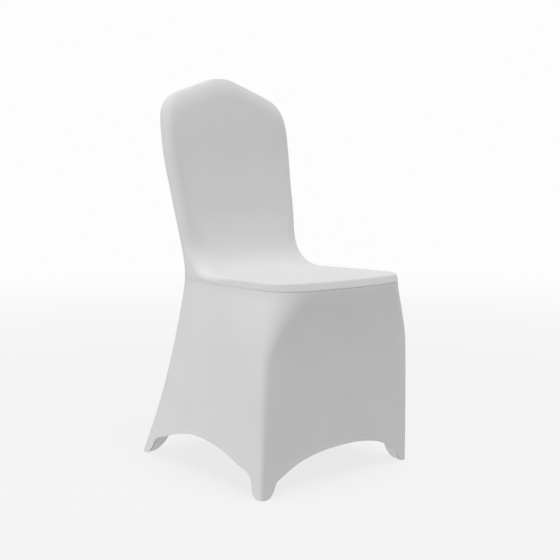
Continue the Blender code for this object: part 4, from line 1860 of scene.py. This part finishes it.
@dataclass
class Studio:
    """Plain pale sweep, soft light and the camera at the photograph's angle."""

    floor_radius: float = 30.0
    floor_sides: int = 96
    dome_radius: float = 40.0
    dome_segments: int = 64
    floor_colour: str = "#F4F4F5"
    far_colour: str = "#FDFDFD"
    floor_glow: float = 0.85
    near: float = 1.2
    far: float = 5.0
    ambient: float = 0.42
    lights_from: tuple[Light, ...] = (
        Light("top", 1.62, (0.0, -0.22, 0.98), 50.0),
        Light("side", 1.06, (-0.90, 0.43, 0.05), 40.0),
        Light("behind", 0.50, (0.70, 0.71, 0.10), 60.0),
        Light("bounce", 0.55, (0.0, -0.40, -0.92), 90.0),
    )
    camera_place: tuple[float, float, float] = (-1.4375, -1.6351, 0.6599)
    camera_look: tuple[float, float, float] = (0.6599, 0.7442, -0.1035)
    camera_lens: float = 59.31
    camera_sensor: float = 36.0
    camera_reach: float = 100.0

    def build(self) -> None:
        """Makes the floor, the backdrop, the lights and the camera."""
        self.floor()
        self.backdrop()
        self.lights()
        self.camera()

    def floor(self) -> None:
        """Pale floor that catches a faint shadow near the cover and fades into the backdrop."""
        bpy.ops.object.select_all(action="DESELECT")
        bpy.ops.mesh.primitive_circle_add(
            vertices=self.floor_sides, radius=self.floor_radius, fill_type="TRIFAN"
        )
        floor = bpy.context.object
        floor.name = "floor"
        floor.visible_diffuse = False
        floor.visible_glossy = False
        floor.visible_shadow = False
        material, tree = bare_material("matt_white_floor")
        where = add_node(tree, "ShaderNodeTexCoord").outputs["Object"]
        distance = add_node(tree, "ShaderNodeVectorMath", {"operation": "LENGTH"}, {0: where})
        fade = add_node(
            tree,
            "ShaderNodeMapRange",
            {"interpolation_type": "SMOOTHSTEP", "From Min": self.near, "From Max": self.far},
            {"Value": distance.outputs["Value"]},
        )
        glow = add_node(
            tree,
            "ShaderNodeMapRange",
            {"From Min": 0.0, "From Max": 1.0, "To Min": self.floor_glow, "To Max": 1.0},
            {"Value": fade.outputs["Result"]},
        )
        pale, white = linear(self.floor_colour), linear(self.far_colour)
        tone = add_node(
            tree,
            "ShaderNodeMix",
            {"data_type": "RGBA", MIX_FIRST: pale, MIX_SECOND: white},
            {0: fade.outputs["Result"]},
        )
        paint = add_node(tree, "ShaderNodeBsdfDiffuse", {"Color": pale})
        lit = {"Color": tone.outputs[MIX_RESULT]}
        light = add_node(tree, "ShaderNodeEmission", {"Strength": 1.0}, lit)
        mixed = add_node(
            tree,
            "ShaderNodeMixShader",
            {},
            {0: glow.outputs["Result"], 1: paint.outputs["BSDF"], 2: light.outputs["Emission"]},
        )
        add_node(tree, "ShaderNodeOutputMaterial", {}, {"Surface": mixed.outputs["Shader"]})
        floor.data.materials.append(material)

    def backdrop(self) -> None:
        """White dome behind everything, which only the camera sees."""
        bpy.ops.object.select_all(action="DESELECT")
        bpy.ops.mesh.primitive_uv_sphere_add(
            segments=self.dome_segments, ring_count=self.dome_segments // 2, radius=self.dome_radius
        )
        dome = bpy.context.object
        dome.name = "backdrop"
        for kind in ("diffuse", "glossy", "transmission", "volume_scatter", "shadow"):
            setattr(dome, f"visible_{kind}", False)
        material, tree = bare_material("white_backdrop")
        glow = {"Color": linear(self.far_colour), "Strength": 1.0}
        light = add_node(tree, "ShaderNodeEmission", glow)
        add_node(tree, "ShaderNodeOutputMaterial", {}, {"Surface": light.outputs["Emission"]})
        dome.data.materials.append(material)

    def lights(self) -> None:
        """Even light from all round, with soft ones from above, the left, behind and the floor."""
        scene = bpy.context.scene
        world = bpy.data.worlds.new("studio")
        world.use_nodes = True
        ground = world.node_tree.nodes["Background"]
        ground.inputs["Color"].default_value = (1.0, 1.0, 1.0, 1.0)
        ground.inputs["Strength"].default_value = self.ambient
        scene.world = world
        for light in self.lights_from:
            bpy.ops.object.light_add(type="SUN")
            lamp = bpy.context.object
            lamp.name = light.name
            lamp.data.energy = light.strength
            lamp.data.angle = math.radians(light.angle)
            lamp.rotation_mode = "QUATERNION"
            lamp.rotation_quaternion = (-Vector(light.comes_from)).to_track_quat("-Z", "Y")
        scene.view_settings.view_transform = "Standard"
        scene.view_settings.look = "None"

    def camera(self) -> None:
        """Camera at the photograph's place."""
        bpy.ops.object.camera_add(location=self.camera_place)
        camera = bpy.context.object
        camera.name = "camera"
        camera.data.lens = self.camera_lens
        camera.data.sensor_width = self.camera_sensor
        camera.data.clip_end = self.camera_reach
        camera.rotation_mode = "QUATERNION"
        camera.rotation_quaternion = Vector(self.camera_look).to_track_quat("-Z", "Y")
        bpy.context.scene.camera = camera


def main() -> None:
    """Builds the cover's panels and the studio in order."""
    logging.basicConfig(level=logging.INFO, format="%(message)s")
    form = CoverForm()
    jersey = cloth_material(STRETCH_JERSEY)
    panels: list[Panel] = [SeatAndInsideBack(form), OutsideBack(form), Skirt(form)]
    panels += [FootPocket(form, end=end, side=side) for end in FootEnd for side in FootSide]
    for panel in panels:
        piece = panel.build()
        panel.dress(piece, jersey)
        area = sum(face.area for face in piece.data.polygons) / 2
        LOG.info("%s: %d faces, %.4f m2 of cloth", piece.name, len(piece.data.polygons), area)
    Studio().build()


if __name__ == "__main__":
    main()
